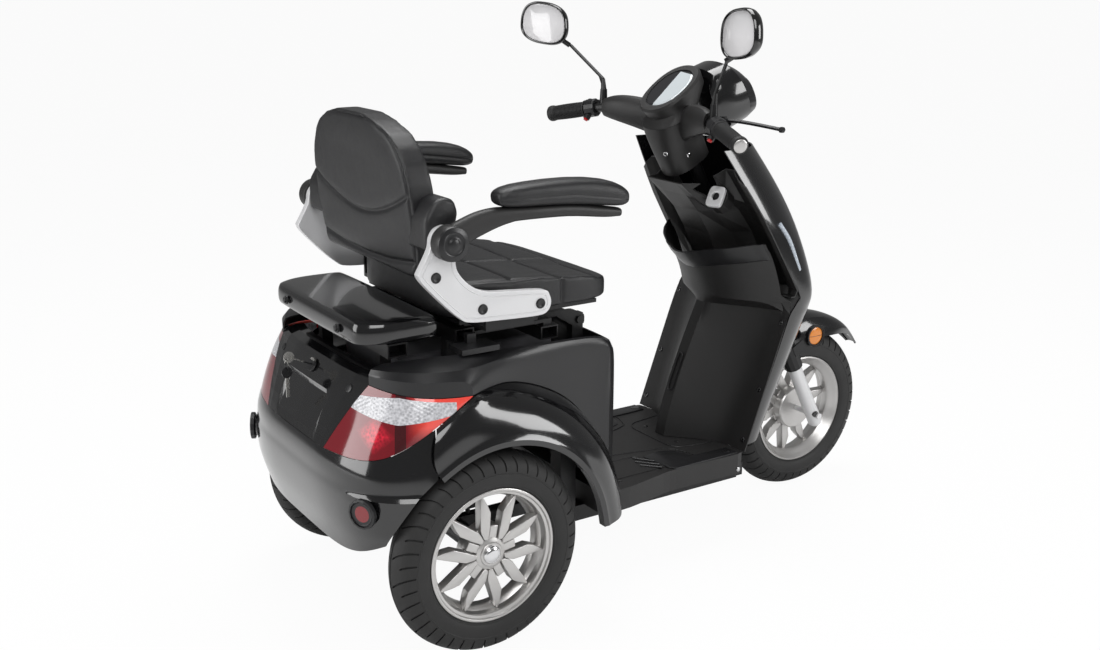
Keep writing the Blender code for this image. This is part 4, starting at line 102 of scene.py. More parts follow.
class Wire:
    """A number on a socket of a node tree. Python's operators add Math nodes to it."""

    def __init__(self, paint, socket):
        self.paint = paint
        self.socket = socket

    __add__ = __radd__ = maths("ADD")
    __sub__, __rsub__ = maths("SUBTRACT"), maths("SUBTRACT", turned=True)
    __mul__ = __rmul__ = maths("MULTIPLY")
    __truediv__ = maths("DIVIDE")
    above, below = maths("GREATER_THAN"), maths("LESS_THAN")
    least, most = maths("MINIMUM"), maths("MAXIMUM")
    wave, size = maths("SINE"), maths("ABSOLUTE")
    angle = maths("ARCTAN2")

    def held(self):
        """The number, kept between 0 and 1."""
        return self.most(0.0).least(1.0)


class Paint:
    """A material in the making."""

    def __init__(self, name, colour, roughness, metallic=0.0, coat=(0.0, 0.03)):
        self.material = bpy.data.materials.new(name)
        self.material.use_nodes = True
        self.tree = self.material.node_tree
        self.shader = self.tree.nodes["Principled BSDF"]
        self.colour = colour
        self.roughness = roughness
        fixed = {"Base Color": (*colour, 1.0), "Roughness": roughness, "Metallic": metallic, "Coat Weight": coat[0],
                 "Coat Roughness": coat[1]}
        for socket, value in fixed.items():
            self.shader.inputs[socket].default_value = value
        self.height = None

    def node(self, kind, settings=None, values=None, output=0):
        """Adds a node, makes its settings, and gives its sockets their values or links."""
        made = self.tree.nodes.new(kind)
        for key, value in (settings or {}).items():
            setattr(made, key, value)
        for key, value in (values or {}).items():
            if isinstance(value, Wire):
                self.tree.links.new(value.socket, made.inputs[key])
            else:
                made.inputs[key].default_value = value
        return Wire(self, made.outputs[output])

    def place(self):
        return self.node("ShaderNodeTexCoord", output="Object")

    def axes(self):
        """The object's three coordinates, each as a number."""
        place = self.place()
        return [self.node("ShaderNodeSeparateXYZ", values={0: place}, output=axis) for axis in "XYZ"]

    def noise(self, scale, detail):
        return self.node("ShaderNodeTexNoise", values={"Vector": self.place(), "Scale": scale, "Detail": detail})

    def cells(self, scale, feature="F1"):
        values = {"Vector": self.place(), "Scale": scale}
        return self.node("ShaderNodeTexVoronoi", {"feature": feature}, values, output="Distance")

    def blend(self, factor, first, second):
        """A colour between two, each a colour or a wire."""
        sides = [value if isinstance(value, Wire) else (*value, 1.0) for value in (first, second)]
        return self.node("ShaderNodeMix", {"data_type": "RGBA"}, {0: factor, 6: sides[0], 7: sides[1]}, output=2)

    def feed(self, socket, wire):
        self.tree.links.new(wire.socket, self.shader.inputs[socket])

    def vary(self, wire, spread):
        """Lets a wire between 0 and 1 move the roughness round its value."""
        self.feed("Roughness", wire * spread + (self.roughness - 0.5 * spread))

    def shade(self, wire, other):
        """Blends the base colour towards another by a wire."""
        self.feed("Base Color", self.blend(wire, self.colour, other))

    def bump(self, height, depth):
        """Raises the surface by a height between 0 and 1 times a depth in metres."""
        values = {"Height": height, "Distance": depth, "Strength": 1.0}
        if self.height:
            values["Normal"] = self.height
        self.height = self.node("ShaderNodeBump", values=values)
        self.feed("Normal", self.height)


GLASS = (0.5, 0.03)  # the coat of lamps and glasses, its weight and roughness
BARE = (0.0, 0.03)
PLAIN = {
    # Colour, roughness, metallic and coat; scale, detail and spread of the noise in the roughness; the texture that is
    # raised, with its scale, detail and depth; and, for some, the scale, detail and colour of a second tone.
    "gloss_black": ((0.0045, 0.0045, 0.005), 0.13, 0.0, (0.7, 0.03), (6.0, 4.0, 0.06), ("noise", 45.0, 1.0, 0.00012)),
    "satin_black": ((0.0095, 0.0095, 0.0105), 0.32, 0.0, BARE, (30.0, 5.0, 0.1), ("noise", 900.0, 2.0, 0.00003)),
    "matte_black": ((0.0135, 0.013, 0.013), 0.46, 0.0, BARE, (14.0, 5.0, 0.14), ("cells", 950.0, 0.00009)),
    "frame_steel": ((0.008, 0.008, 0.0085), 0.36, 0.2, BARE, (40.0, 4.0, 0.16), ("noise", 260.0, 1.0, 0.00006)),
    "rubber": ((0.009, 0.009, 0.0095), 0.58, 0.0, BARE, (60.0, 4.0, 0.15), ("noise", 700.0, 2.0, 0.00005)),
    "tyre": ((0.0095, 0.0095, 0.0098), 0.62, 0.0, BARE, (22.0, 5.0, 0.18), ("noise", 500.0, 3.0, 0.00009),
             (9.0, 4.0, (0.016, 0.0155, 0.015))),
    "silver_alloy": ((0.56, 0.55, 0.54), 0.34, 0.85, BARE, (25.0, 5.0, 0.12), ("noise", 800.0, 2.0, 0.00003)),
    "silver_paint": ((0.66, 0.66, 0.67), 0.34, 0.25, (0.3, 0.1), (18.0, 4.0, 0.1), None,
                     (1500.0, 1.0, (0.74, 0.74, 0.75))),
    "chrome": ((0.72, 0.72, 0.73), 0.12, 1.0, BARE, (50.0, 4.0, 0.08), None),
    "red_lens": ((0.42, 0.006, 0.012), 0.1, 0.0, GLASS, (20.0, 3.0, 0.05), None),
    "clear_lens": ((0.72, 0.74, 0.78), 0.06, 0.0, GLASS, (20.0, 3.0, 0.04), None),
    "orange_lens": ((0.68, 0.22, 0.025), 0.16, 0.0, GLASS, None, ("cells", 420.0, 0.0003)),
    "reflector_lens": ((0.2, 0.008, 0.012), 0.14, 0.0, GLASS, None, ("cells", 420.0, 0.0003)),
    "red_button": ((0.5, 0.012, 0.014), 0.34, 0.0, BARE, (90.0, 3.0, 0.1), None),
    "spring_orange": ((0.55, 0.16, 0.03), 0.36, 0.0, (0.3, 0.03), (60.0, 3.0, 0.12), None),
    "battery_grey": ((0.045, 0.045, 0.05), 0.55, 0.0, BARE, (30.0, 4.0, 0.15), ("noise", 600.0, 2.0, 0.00005)),
}


def plain(name):
    """A material from its row of the table."""
    *first, vary, raised = PLAIN[name][:6]
    paint = Paint(name, *first)
    if vary:
        paint.vary(paint.noise(*vary[:2]), vary[2])
    for scale, detail, other in PLAIN[name][6:]:
        paint.shade(paint.noise(scale, detail), other)
    if raised:
        texture, *pattern, depth = raised
        paint.bump(getattr(paint, texture)(*pattern), depth)
    return paint.material


def leather():
    """Black leather, grained and a little uneven."""
    paint = Paint("leather", (0.0095, 0.0095, 0.0105), 0.38)
    paint.vary(paint.noise(35.0, 4.0), 0.12)
    grain = paint.cells(620.0, "DISTANCE_TO_EDGE")
    paint.bump((grain * 4.0).least(1.0), 0.0001)
    paint.bump(paint.noise(60.0, 3.0), 0.0004)
    return paint.material


def display():
    """Dark glass with a pale panel to the right of a slanted edge, in the pod's own plane."""
    paint = Paint("display", (0.012, 0.012, 0.014), 0.1, coat=GLASS)
    x, y, z = paint.axes()
    ahead = (x - 0.1525) * 0.793 + (z - 1.058) * 0.609
    panel = (ahead * 0.1 - y).above(-0.0066) * (y * 0.13 - ahead).above(-0.052)
    paint.shade(panel, (0.5, 0.54, 0.56))
    paint.vary(paint.noise(20.0, 3.0), 0.04)
    return paint.material


def tail_lens():
    """The tail lamp's red lens, with a clear ribbed band round its upper part and darker red in the bowl below, which a
    painted highlight brightens toward its middle; a painted glow brightens the red toward one side.
    """
    paint = Paint("tail_lens", (0.17, 0.006, 0.012), 0.1, coat=GLASS)
    x, y, z = paint.axes()
    round_about = y.size().angle((x + 0.5165) * -1.0)
    middle = (round_about - 1.005).size() / 0.325
    height = (z - 0.53).size()
    band = (middle.least(1.0) * 0.012 + height).below(0.0235) * middle.below(1.0)
    ribs = (z * 900.0).wave() * (round_about * 160.0).wave()
    facets = paint.cells(190.0)
    # Painted highlight: the red brightens toward the middle of the bowl, broken up by the facets.
    bowl = ((round_about - 0.87) * 0.3).size() + (z - 0.484).size()
    red = paint.blend((bowl * -40.0 + 1.5).held() * facets, paint.colour, (0.8, 0.02, 0.05))
    red = paint.blend(round_about.above(0.985) * round_about.below(1.045), red, (0.05, 0.004, 0.006))
    # Painted light: a glow of brighter red-orange toward one side of the lens, from the bowl's height up.
    painted_glow = ((round_about - 1.05) * 9.0).held() * ((z - 0.475) * 40.0).held()
    red = paint.blend(painted_glow, red, (0.85, 0.075, 0.055))
    paint.feed("Base Color", paint.blend(band, red, paint.blend(facets, (0.3, 0.3, 0.32), (0.72, 0.72, 0.75))))
    paint.bump((ribs * 0.5 + 0.5) * band, 0.0006)
    return paint.material


def mirror_glass():
    """Silvered glass whose pale colour is a painted reflection of a pale studio, a little darker toward its top as part
    of the painted reflection.
    """
    paint = Paint("mirror_glass", (0.74, 0.73, 0.74), 0.08, coat=(0.4, 0.03))
    z = paint.axes()[2]
    # Painted reflection: the pale glass darkens toward its top.
    paint.shade(((z - 1.19) * 14.0).held(), (0.45, 0.45, 0.46))
    paint.vary(paint.noise(15.0, 2.0), 0.02)
    return paint.material


def pale_lens():
    """The ribbed strips on the front shield's sides."""
    paint = Paint("pale_lens", (0.45, 0.5, 0.56), 0.14, coat=GLASS)
    z = paint.axes()[2]
    paint.bump((z * 700.0).wave(), 0.0004)
    return paint.material


def key_metal():
    """Silver blades and rings; the bows are black plastic."""
    paint = Paint("key_metal", (0.62, 0.61, 0.58), 0.26, 0.9)
    x, _, z = paint.axes()
    bow = (z.above(0.533) * z.below(0.562)).most(x.below(-0.8125))
    paint.shade(bow, (0.012, 0.012, 0.013))
    paint.feed("Metallic", (bow - 1.0) * -0.9)
    paint.vary(paint.noise(80.0, 3.0), 0.1)
    return paint.material


def lamp_lens():
    """The headlamp's clear front; its rim behind the cowl is dark."""
    paint = Paint("lamp_lens", (0.62, 0.64, 0.68), 0.06, coat=GLASS)
    x, _, z = paint.axes()
    paint.shade((x * 0.93 + (z - 1.03) * 0.36).below(0.352), (0.006, 0.006, 0.007))
    paint.bump((z * 500.0).wave(), 0.0002)
    return paint.material


DRAWN = {make.__name__: make for make in (leather, display, tail_lens, mirror_glass, pale_lens, key_metal, lamp_lens)}
FINISHES = {}


def finish(slot):
    """The material of a slot, made the first time it is asked for."""
    if slot not in FINISHES:
        FINISHES[slot] = DRAWN[slot]() if slot in DRAWN else plain(slot)
    return FINISHES[slot]


def dress(obj, slot):
    """Gives a piece the material of a slot, and no other."""
    obj.data.materials.clear()
    obj.data.materials.append(finish(slot))


# Modelling helpers


def deselect():
    bpy.ops.object.select_all(action="DESELECT")


def only(obj):
    deselect()
    obj.select_set(True)
    bpy.context.view_layer.objects.active = obj


@contextmanager
def editing(obj):
    """A while in edit mode with everything selected."""
    only(obj)
    bpy.ops.object.mode_set(mode="EDIT")
    bpy.ops.mesh.select_all(action="SELECT")
    yield
    bpy.ops.object.mode_set(mode="OBJECT")


def linked(name, data):
    """A new object in the scene."""
    obj = bpy.data.objects.new(name, data)
    bpy.context.scene.collection.objects.link(obj)
    return obj


def applied(obj, kind, **settings):
    """Adds a modifier and applies it."""
    modifier = obj.modifiers.new(kind, kind)
    for key, value in settings.items():
        setattr(modifier, key, value)
    bpy.ops.object.modifier_apply(modifier=modifier.name)


def refined(node, name, levels=2, angle=32.0, crease=1.0):
    """A CAD solid's own surface, merged back into quads and drawn smooth between its sharp edges."""
    obj = linked(name, NODES[node].data.copy())
    with editing(obj):
        bpy.ops.mesh.remove_doubles(threshold=1e-6)
        bpy.ops.mesh.tris_convert_to_quads(face_threshold=math.radians(60), shape_threshold=math.radians(60))
        bpy.ops.mesh.customdata_custom_splitnormals_clear()
    form = bmesh.new()
    form.from_mesh(obj.data)
    layer = form.edges.layers.float.new("crease_edge")
    for edge in form.edges:
        if len(edge.link_faces) == 2 and edge.calc_face_angle(0.0) > math.radians(angle):
            edge[layer] = crease
    form.to_mesh(obj.data)
    form.free()
    applied(obj, "SUBSURF", levels=levels, render_levels=levels)
    bpy.ops.object.shade_smooth_by_angle(angle=math.radians(angle))
    return obj


def drawn(name, points, edges=(), faces=()):
    """A new piece from its first points, at the origin with its place in its mesh."""
    mesh = bpy.data.meshes.new(name)
    mesh.from_pydata([tuple(point) for point in points], edges, faces)
    return linked(name, mesh)


def tidied(obj, angle=35.0):
    """Closes a piece's seams, turns its faces outward and smooths it between its sharp edges."""
    with editing(obj):
        bpy.ops.mesh.remove_doubles(threshold=1e-5)
        bpy.ops.mesh.normals_make_consistent(inside=False)
    bpy.ops.object.shade_smooth_by_angle(angle=math.radians(angle))
    return obj


def spun(name, section, steps, frame, angle=35.0):
    """A section of radius and reach, spun about a frame's Z axis. One that ends on the axis closes itself."""
    points = [frame @ Vector((radius, 0.0, reach)) for radius, reach in section]
    closed = min(radius for radius, reach in section) > 1e-4
    edges = [(i, i + 1) for i in range(len(points) - 1)] + ([(len(points) - 1, 0)] if closed else [])
    obj = drawn(name, points, edges)
    axis = frame.to_3x3() @ Vector((0.0, 0.0, 1.0))
    with editing(obj):
        bpy.ops.mesh.spin(steps=steps, angle=math.tau, center=frame.translation, axis=axis)
    return tidied(obj, angle)


def plate(name, outline, low, high, bevel, frame, segments=3):
    """An outline drawn on a frame's XY plane, extruded between two heights, with bevelled edges."""
    points = [frame @ Vector((x, y, low)) for x, y in outline]
    obj = drawn(name, points, faces=[tuple(range(len(points)))])
    move = frame.to_3x3() @ Vector((0.0, 0.0, high - low))
    with editing(obj):
        bpy.ops.mesh.extrude_region_move(TRANSFORM_OT_translate={"value": move})
        bpy.ops.mesh.select_all(action="SELECT")
        bpy.ops.mesh.bevel(offset=bevel, segments=segments, affect="EDGES", clamp_overlap=True)
    return tidied(obj)


def woven(rows, count, closed=False):
    """The faces of a net of rows with as many points each, closed round every row and, if so, over the rows."""
    faces = []
    for row in range(rows if closed else rows - 1):
        after = (row + 1) % rows
        for column in range(count):
            side = (column + 1) % count
            faces.append((row * count + column, row * count + side, after * count + side, after * count + column))
    return faces


def lofted(name, rings, angle=35.0):
    """A skin through closed rings of as many points each, capped at both ends."""
    count = len(rings[0])
    points = [point for ring in rings for point in ring]
    faces = woven(len(rings), count) + [tuple(range(count)), tuple(range(len(points) - count, len(points)))]
    return tidied(drawn(name, points, faces=faces), angle)


def joined(pieces, name):
    """Several meshes as one piece."""
    deselect()
    for piece in pieces:
        piece.select_set(True)
    bpy.context.view_layer.objects.active = pieces[0]
    bpy.ops.object.join()
    pieces[0].name = name
    return pieces[0]


def copied(obj, name, matrix):
    """A copy of a piece in another place, its mesh moved there."""
    mesh = obj.data.copy()
    mesh.transform(matrix)
    if matrix.determinant() < 0:
        mesh.flip_normals()
    return linked(name, mesh)


def wire(name, points, radius, resolution=3, cyclic=False):
    """A round wire along a smooth line, as a mesh."""
    curve = bpy.data.curves.new(name, "CURVE")
    curve.dimensions = "3D"
    curve.bevel_depth = radius
    curve.bevel_resolution = resolution
    curve.use_fill_caps = not cyclic
    spline = curve.splines.new("POLY")
    spline.points.add(len(points) - 1)
    spline.use_cyclic_u = cyclic
    for point, place in zip(spline.points, points):
        point.co = (*place, 1.0)
    only(linked(name, curve))
    bpy.ops.object.convert(target="MESH")
    bpy.ops.object.shade_smooth()
    return bpy.context.object


def eased(points, steps):
    """Points along a smooth line through the given ones."""
    points = [Vector(point) for point in points]
    ends = [2 * points[0] - points[1]] + points + [2 * points[-1] - points[-2]]
    line = []
    for index in range(len(points) - 1):
        before, start, end, after = ends[index : index + 4]
        for step in range(steps):
            t = step / steps
            line.append(0.5 * (2 * start + (end - before) * t + (2 * before - 5 * start + 4 * end - after) * t * t
                               + (3 * start - before - 3 * end + after) * t**3))
    return line + [points[-1]]


def eased_flat(points, steps):
    """The same on a plane."""
    return [(place.x, place.y) for place in eased([(x, y, 0.0) for x, y in points], steps)]


def fitted(obj, body, slot, *nodes):
    """Puts a new piece on its body, with its finish and the CAD nodes that it stands for."""
    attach(obj, body)
    dress(obj, slot)
    if nodes:
        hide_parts(*nodes)
    return obj


CLOTH_FRAMES = 12


def inflated(obj, voxel, pressure, reach):
    """Remeshes a pad's form evenly and blows it up as cloth, no point further than its reach."""
    only(obj)
    obj.data.remesh_voxel_size = voxel
    bpy.ops.object.voxel_remesh()
    scene = bpy.context.scene
    cloth = obj.modifiers.new("Cloth", "CLOTH")
    cloth.settings.use_pressure = True
    cloth.settings.uniform_pressure_force = pressure
    cloth.settings.effector_weights.gravity = 0.0
    cloth.settings.tension_stiffness = 60.0
    cloth.settings.compression_stiffness = 60.0
    cloth.settings.bending_stiffness = 30.0
    for number in range(1, CLOTH_FRAMES + 1):
        scene.frame_set(number)
    swollen = obj.evaluated_get(bpy.context.evaluated_depsgraph_get()).to_mesh()
    places = [vertex.co.copy() for vertex in swollen.vertices]
    obj.modifiers.remove(cloth)
    for vertex, place in zip(obj.data.vertices, places):
        step = place - vertex.co
        vertex.co += step * min(1.0, reach / max(step.length, 1e-9))
    scene.frame_set(1)
    applied(obj, "SMOOTH", factor=0.5, iterations=8)
    applied(obj, "SUBSURF", levels=1)
    bpy.ops.object.shade_smooth()
    return obj


def drawn_in(obj, seams, facing, least=0.25):
    """Presses sewn seams into the side of a pad that faces a direction. A seam is a line, a depth and a width."""
    places = np.empty(len(obj.data.vertices) * 3)
    normals = np.empty(len(obj.data.vertices) * 3)
    obj.data.vertices.foreach_get("co", places)
    obj.data.vertex_normals.foreach_get("vector", normals)
    places, normals = places.reshape(-1, 3), normals.reshape(-1, 3)
    flat = places[:, [index for index in range(3) if abs(facing[index]) < 0.5]]
    fall = np.zeros(len(places))
    for line, depth, width in seams:
        away = np.full(len(places), 1.0)
        for start, end in zip(np.array(line), np.array(line[1:])):
            along = end - start
            share = np.clip((flat - start) @ along / max(along @ along, 1e-12), 0.0, 1.0)
            away = np.minimum(away, np.linalg.norm(flat - start - share[:, None] * along, axis=1))
        near, far = np.exp(-((away / width) ** 2)), np.exp(-((away / (3.2 * width)) ** 2))
        fall = np.maximum(fall, depth * near + 0.35 * depth * far)
    fall *= np.clip((normals @ np.array(facing, float) - least) / 0.15, 0.0, 1.0)
    obj.data.vertices.foreach_set("co", (places - normals * fall[:, None]).ravel())
    obj.data.update()


@cache
def skin_of(node):
    """A CAD solid's surface, to find places on."""
    mesh = NODES[node].data
    return BVHTree.FromPolygons([vertex.co for vertex in mesh.vertices], [face.vertices[:] for face in mesh.polygons])


def laid_on(node, points, direction, lift=0.0):
    """Each point moved along a direction onto a CAD solid's surface."""
    direction = Vector(direction).normalized()
    found = [skin_of(node).ray_cast(Vector(point) - direction * 0.4, direction) for point in points]
    return [place + normal * lift for place, normal, _, _ in found if place is not None]


def ring_line(half_a, half_b, power, count):
    """Points round a superellipse."""
    line = []
    for index in range(count):
        angle = math.tau * index / count
        parts = ((half_a, math.cos(angle)), (half_b, math.sin(angle)))
        line.append(tuple(math.copysign(half * abs(part) ** (2 / power), part) for half, part in parts))
    return line


def standing(place, normal):
    """A frame at a place whose Z looks along a normal and whose Y stands as upright as it can."""
    return Matrix.Translation(Vector(place)) @ Vector(normal).to_track_quat("Z", "Y").to_matrix().to_4x4()


def across(side, x=0.0, z=0.0):
    """A frame whose X looks forward, whose Y looks up and whose Z looks to a side."""
    return Matrix(((1, 0, 0, x), (0, 0, side, 0), (0, 1, 0, z), (0, 0, 0, 1)))


def mirrored(side, place):
    """A place or a direction that is given for the left side, on either side."""
    x, y, z = place
    return Vector((x, side * y, z))


def outward(side, x, y, z):
    """A frame at a place on either side, whose Z looks away from the middle."""
    return standing(mirrored(side, (x, y, z)), (0, side, 0))


def flat_face(node, towards):
    """The frame and the half sizes of a CAD solid's largest flat face that looks a way."""
    mesh = NODES[node].data
    groups = {}
    for face in mesh.polygons:
        if face.normal.dot(Vector(towards)) > 0.6:
            key = (*(round(part, 2) for part in face.normal), round(face.normal.dot(face.center), 3))
            groups.setdefault(key, []).append(face)
    best = max(groups.values(), key=lambda faces: sum(face.area for face in faces))
    turn = best[0].normal.to_track_quat("Z", "Y")
    corners = [turn.inverted() @ mesh.vertices[index].co for face in best for index in face.vertices]
    low, high = Vector(map(min, zip(*corners))), Vector(map(max, zip(*corners)))
    return Matrix.Translation(turn @ ((low + high) / 2)) @ turn.to_matrix().to_4x4(), (high - low) / 2


def stud(name, frame, radius, height, dome=0.3, steps=32):
    """A low round head that stands on a frame's plane, its edge rounded and its top a little domed."""
    section = [(0.0, height), (0.45 * radius, height - 0.12 * dome * height),
               (0.8 * radius, (1 - 0.45 * dome) * height), (0.94 * radius, (0.92 - 0.6 * dome) * height),
               (radius, (0.75 - 0.6 * dome) * height), (radius, -0.002), (0.0, -0.002)]
    return spun(name, section, steps, frame, 40.0)


def hex_bolt(name, frame, radius, height):
    """A flanged bolt: a washer, six flats and a domed top."""
    head = [(radius * math.cos(math.tau * i / 6), radius * math.sin(math.tau * i / 6)) for i in range(6)]
    return joined([stud("flange", frame, 1.45 * radius, 0.25 * height, 0.2),
                   plate("flats", head, 0.0, height, 0.08 * radius, frame, 2)], name)


# Properties


class WheelSizes(bpy.types.PropertyGroup):
    """The wheels, which are one casting and one tyre size all round."""

    tyre_radius: FloatProperty(
        name="Tyre radius", description="Radius over the tread", default=0.211, unit="LENGTH",
    )
    groove_depth: FloatProperty(
        name="Groove depth", description="Depth of the tread's grooves", default=0.0042, unit="LENGTH",
    )
    pitches: IntProperty(name="Grooves", description="Tread grooves on each shoulder", default=44)
    blade_bevel: FloatProperty(
        name="Blade bevel", description="Round of the blades' edges", default=0.0018, unit="LENGTH",
    )


class SeatSizes(bpy.types.PropertyGroup):
    """The chair's pads and how hard they are stuffed."""

    pressure: FloatProperty(name="Pressure", description="Pressure inside the pads while they swell", default=0.8)
    voxel: FloatProperty(
        name="Mesh size", description="Size of the pads' even mesh before the last subdivision", default=0.0055,
        unit="LENGTH",
    )
    reach: FloatProperty(
        name="Reach", description="How far a point of a pad may move as it swells", default=0.007, unit="LENGTH",
    )
    seam_depth: FloatProperty(name="Seam depth", description="Depth of a sewn seam", default=0.005, unit="LENGTH")
    seam_width: FloatProperty(name="Seam width", description="Width of a sewn seam", default=0.0042, unit="LENGTH")


class StageSizes(bpy.types.PropertyGroup):
    """Where the studio's camera stands and how its lamps are set."""

    place: FloatVectorProperty(
        name="Camera place", description="Where the camera stands", subtype="TRANSLATION", unit="LENGTH",
        default=(-1.6976, -2.2577, 1.3314),
    )
    azimuth: FloatProperty(
        name="Camera azimuth", description="Turn of the view about the vertical", subtype="ANGLE", unit="ROTATION",
        default=math.radians(-31.53),
    )
    elevation: FloatProperty(
        name="Camera elevation", description="How far the view looks down", subtype="ANGLE", unit="ROTATION",
        default=math.radians(15.97),
    )
    roll: FloatProperty(
        name="Camera roll", description="Turn of the view about its own axis", subtype="ANGLE", unit="ROTATION",
        default=math.radians(-0.18),
    )
    lens: FloatProperty(name="Lens", description="Focal length on a 36 mm sensor, in millimetres", default=41.243)
    shift: FloatVectorProperty(
        name="Shift", description="The view's shift, as a share of its width", size=2, default=(0.0501, -0.0018),
    )
    floor_size: FloatProperty(
        name="Floor size", description="Side of the studio floor", unit="LENGTH", default=160.0,
    )
    key_power: FloatProperty(name="Key lamp", description="Power of the key lamp", unit="POWER", default=70.0)


# Operators

REDRESSED = {
    "spare_key": "key_metal", "boot_lock": "key_metal", "rear_reflector_left": "satin_black",
    "rear_reflector_right": "satin_black", "tail_lamp_left": "tail_lens", "tail_lamp_right": "tail_lens",
    "headlight_lens": "lamp_lens", "ignition_plate": "silver_paint",
}


class MOPED_OT_finishes(bpy.types.Operator):
    """Gives every CAD part its finish"""

    bl_idname = "moped.finishes"
    bl_label = "Finishes"

    def execute(self, context):
        for node, obj in NODES.items():
            dress(obj, REDRESSED.get(node, SLOT_OF[node]))
            only(obj)
            bpy.ops.object.shade_smooth_by_angle(angle=math.radians(35))
        return {"FINISHED"}


PANELS = (
    "front_shield leg_shield front_mudguard fender_left fender_right rear_body_shell rear_bumper tail_lamp_left "
    "tail_lamp_right headlight_cowl headlight_lens dash_pod luggage_plate column_cover handlebar brake_lever_left "
    "brake_lever_right fork_lower"
).split()
ROUND = ("handlebar", "fork_lower")  # these are smooth after one subdivision


class MOPED_OT_panels(bpy.types.Operator):
    """Draws the moulded panels smooth"""

    bl_idname = "moped.panels"
    bl_label = "Panels"

    def execute(self, context):
        for node in PANELS:
            skin = refined(node, node + "_skin", 1 if node in ROUND else 2)
            fitted(skin, BODY_OF[node], SLOT_OF[node], node)
            if node in REDRESSED:
                dress(skin, REDRESSED[node])
        return {"FINISHED"}


TYRE_SECTION = [  # radius and reach from the wheel's middle, and the share of the groove's depth there
    (0.1385, 0.029, 0), (0.14, 0.0325, 0), (0.143, 0.035, 0), (0.144, 0.0362, 0), (0.1455, 0.0362, 0),
    (0.148, 0.0378, 0), (0.155, 0.0397, 0), (0.163, 0.0407, 0), (0.17, 0.0408, 0), (0.1712, 0.0416, 0),
    (0.1726, 0.0416, 0), (0.1735, 0.0407, 0), (0.176, 0.0403, 0), (0.1768, 0.0401, 1), (0.182, 0.039, 1),
    (0.187, 0.0372, 1), (0.1915, 0.0348, 1), (0.1955, 0.0318, 1), (0.199, 0.0282, 1), (0.2019, 0.0242, 1),
    (0.2025, 0.0232, 1), (0.2031, 0.0222, 2), (0.2055, 0.018, 2), (0.2078, 0.013, 2), (0.2092, 0.0085, 2),
    (0.21, 0.0052, 2), (0.2103, 0.0043, 0), (0.2107, 0.0022, 0), (0.2108, 0.0012, 3),
]
# The net's columns over one pitch of the tread; a groove runs from -0.05 to 0.05
GROOVE_COLUMNS = [-0.5, -0.3, -0.12, -0.072, -0.05, 0.05, 0.072, 0.12, 0.3]
BARREL_SECTION = [  # radius and reach of the rim's barrel, as of the hub and its cap
    (0.14, 0.0322), (0.1398, 0.034), (0.1385, 0.035), (0.1362, 0.0352), (0.1345, 0.0343), (0.1336, 0.0322),
    (0.1326, 0.0304), (0.13, 0.0296), (0.1277, 0.029), (0.1266, 0.0272), (0.1262, 0.02), (0.125, 0.012),
    (0.119, 0.006), (0.1166, 0.0), (0.1166, -0.014), (0.121, -0.02), (0.1262, -0.024), (0.13, -0.029),
    (0.1362, -0.035), (0.1398, -0.034), (0.1396, -0.029), (0.133, -0.025), (0.129, -0.02),
    (0.1222, -0.013), (0.1222, 0.002), (0.129, 0.014), (0.132, 0.025), (0.1396, 0.029),
]
HUB_SECTION = [
    (0.0, 0.0262), (0.0185, 0.0262), (0.0197, 0.0268), (0.0236, 0.0268), (0.0248, 0.0258), (0.0254, 0.024),
    (0.029, 0.0228), (0.033, 0.0212), (0.034, 0.018), (0.034, 0.0125), (0.052, 0.0118), (0.0548, 0.01),
    (0.0558, 0.006), (0.0558, -0.018), (0.053, -0.021), (0.0, -0.022),
]
CAP_SECTION = [
    (0.0, 0.0335), (0.008, 0.0332), (0.0135, 0.0322), (0.0148, 0.031), (0.016, 0.0312), (0.0182, 0.03),
    (0.0193, 0.0282), (0.0195, 0.026), (0.0, 0.0255),
]
# A blade's outline, along and across its spoke
BLADE = [(0.03, 0.0112), (0.056, 0.0118), (0.086, 0.014), (0.1, 0.0225), (0.1195, 0.0375), (0.1188, 0.0415),
         (0.084, 0.0372), (0.048, 0.0322), (0.04, 0.0278), (0.029, 0.0205)]
TYRE_HALF_WIDTH = 0.0403  # where the tread's grooves end
WHEELS = (("front", "front_wheel", 1), ("rear_left", "rear_wheel_left", 1), ("rear_right", "rear_wheel_right", -1))


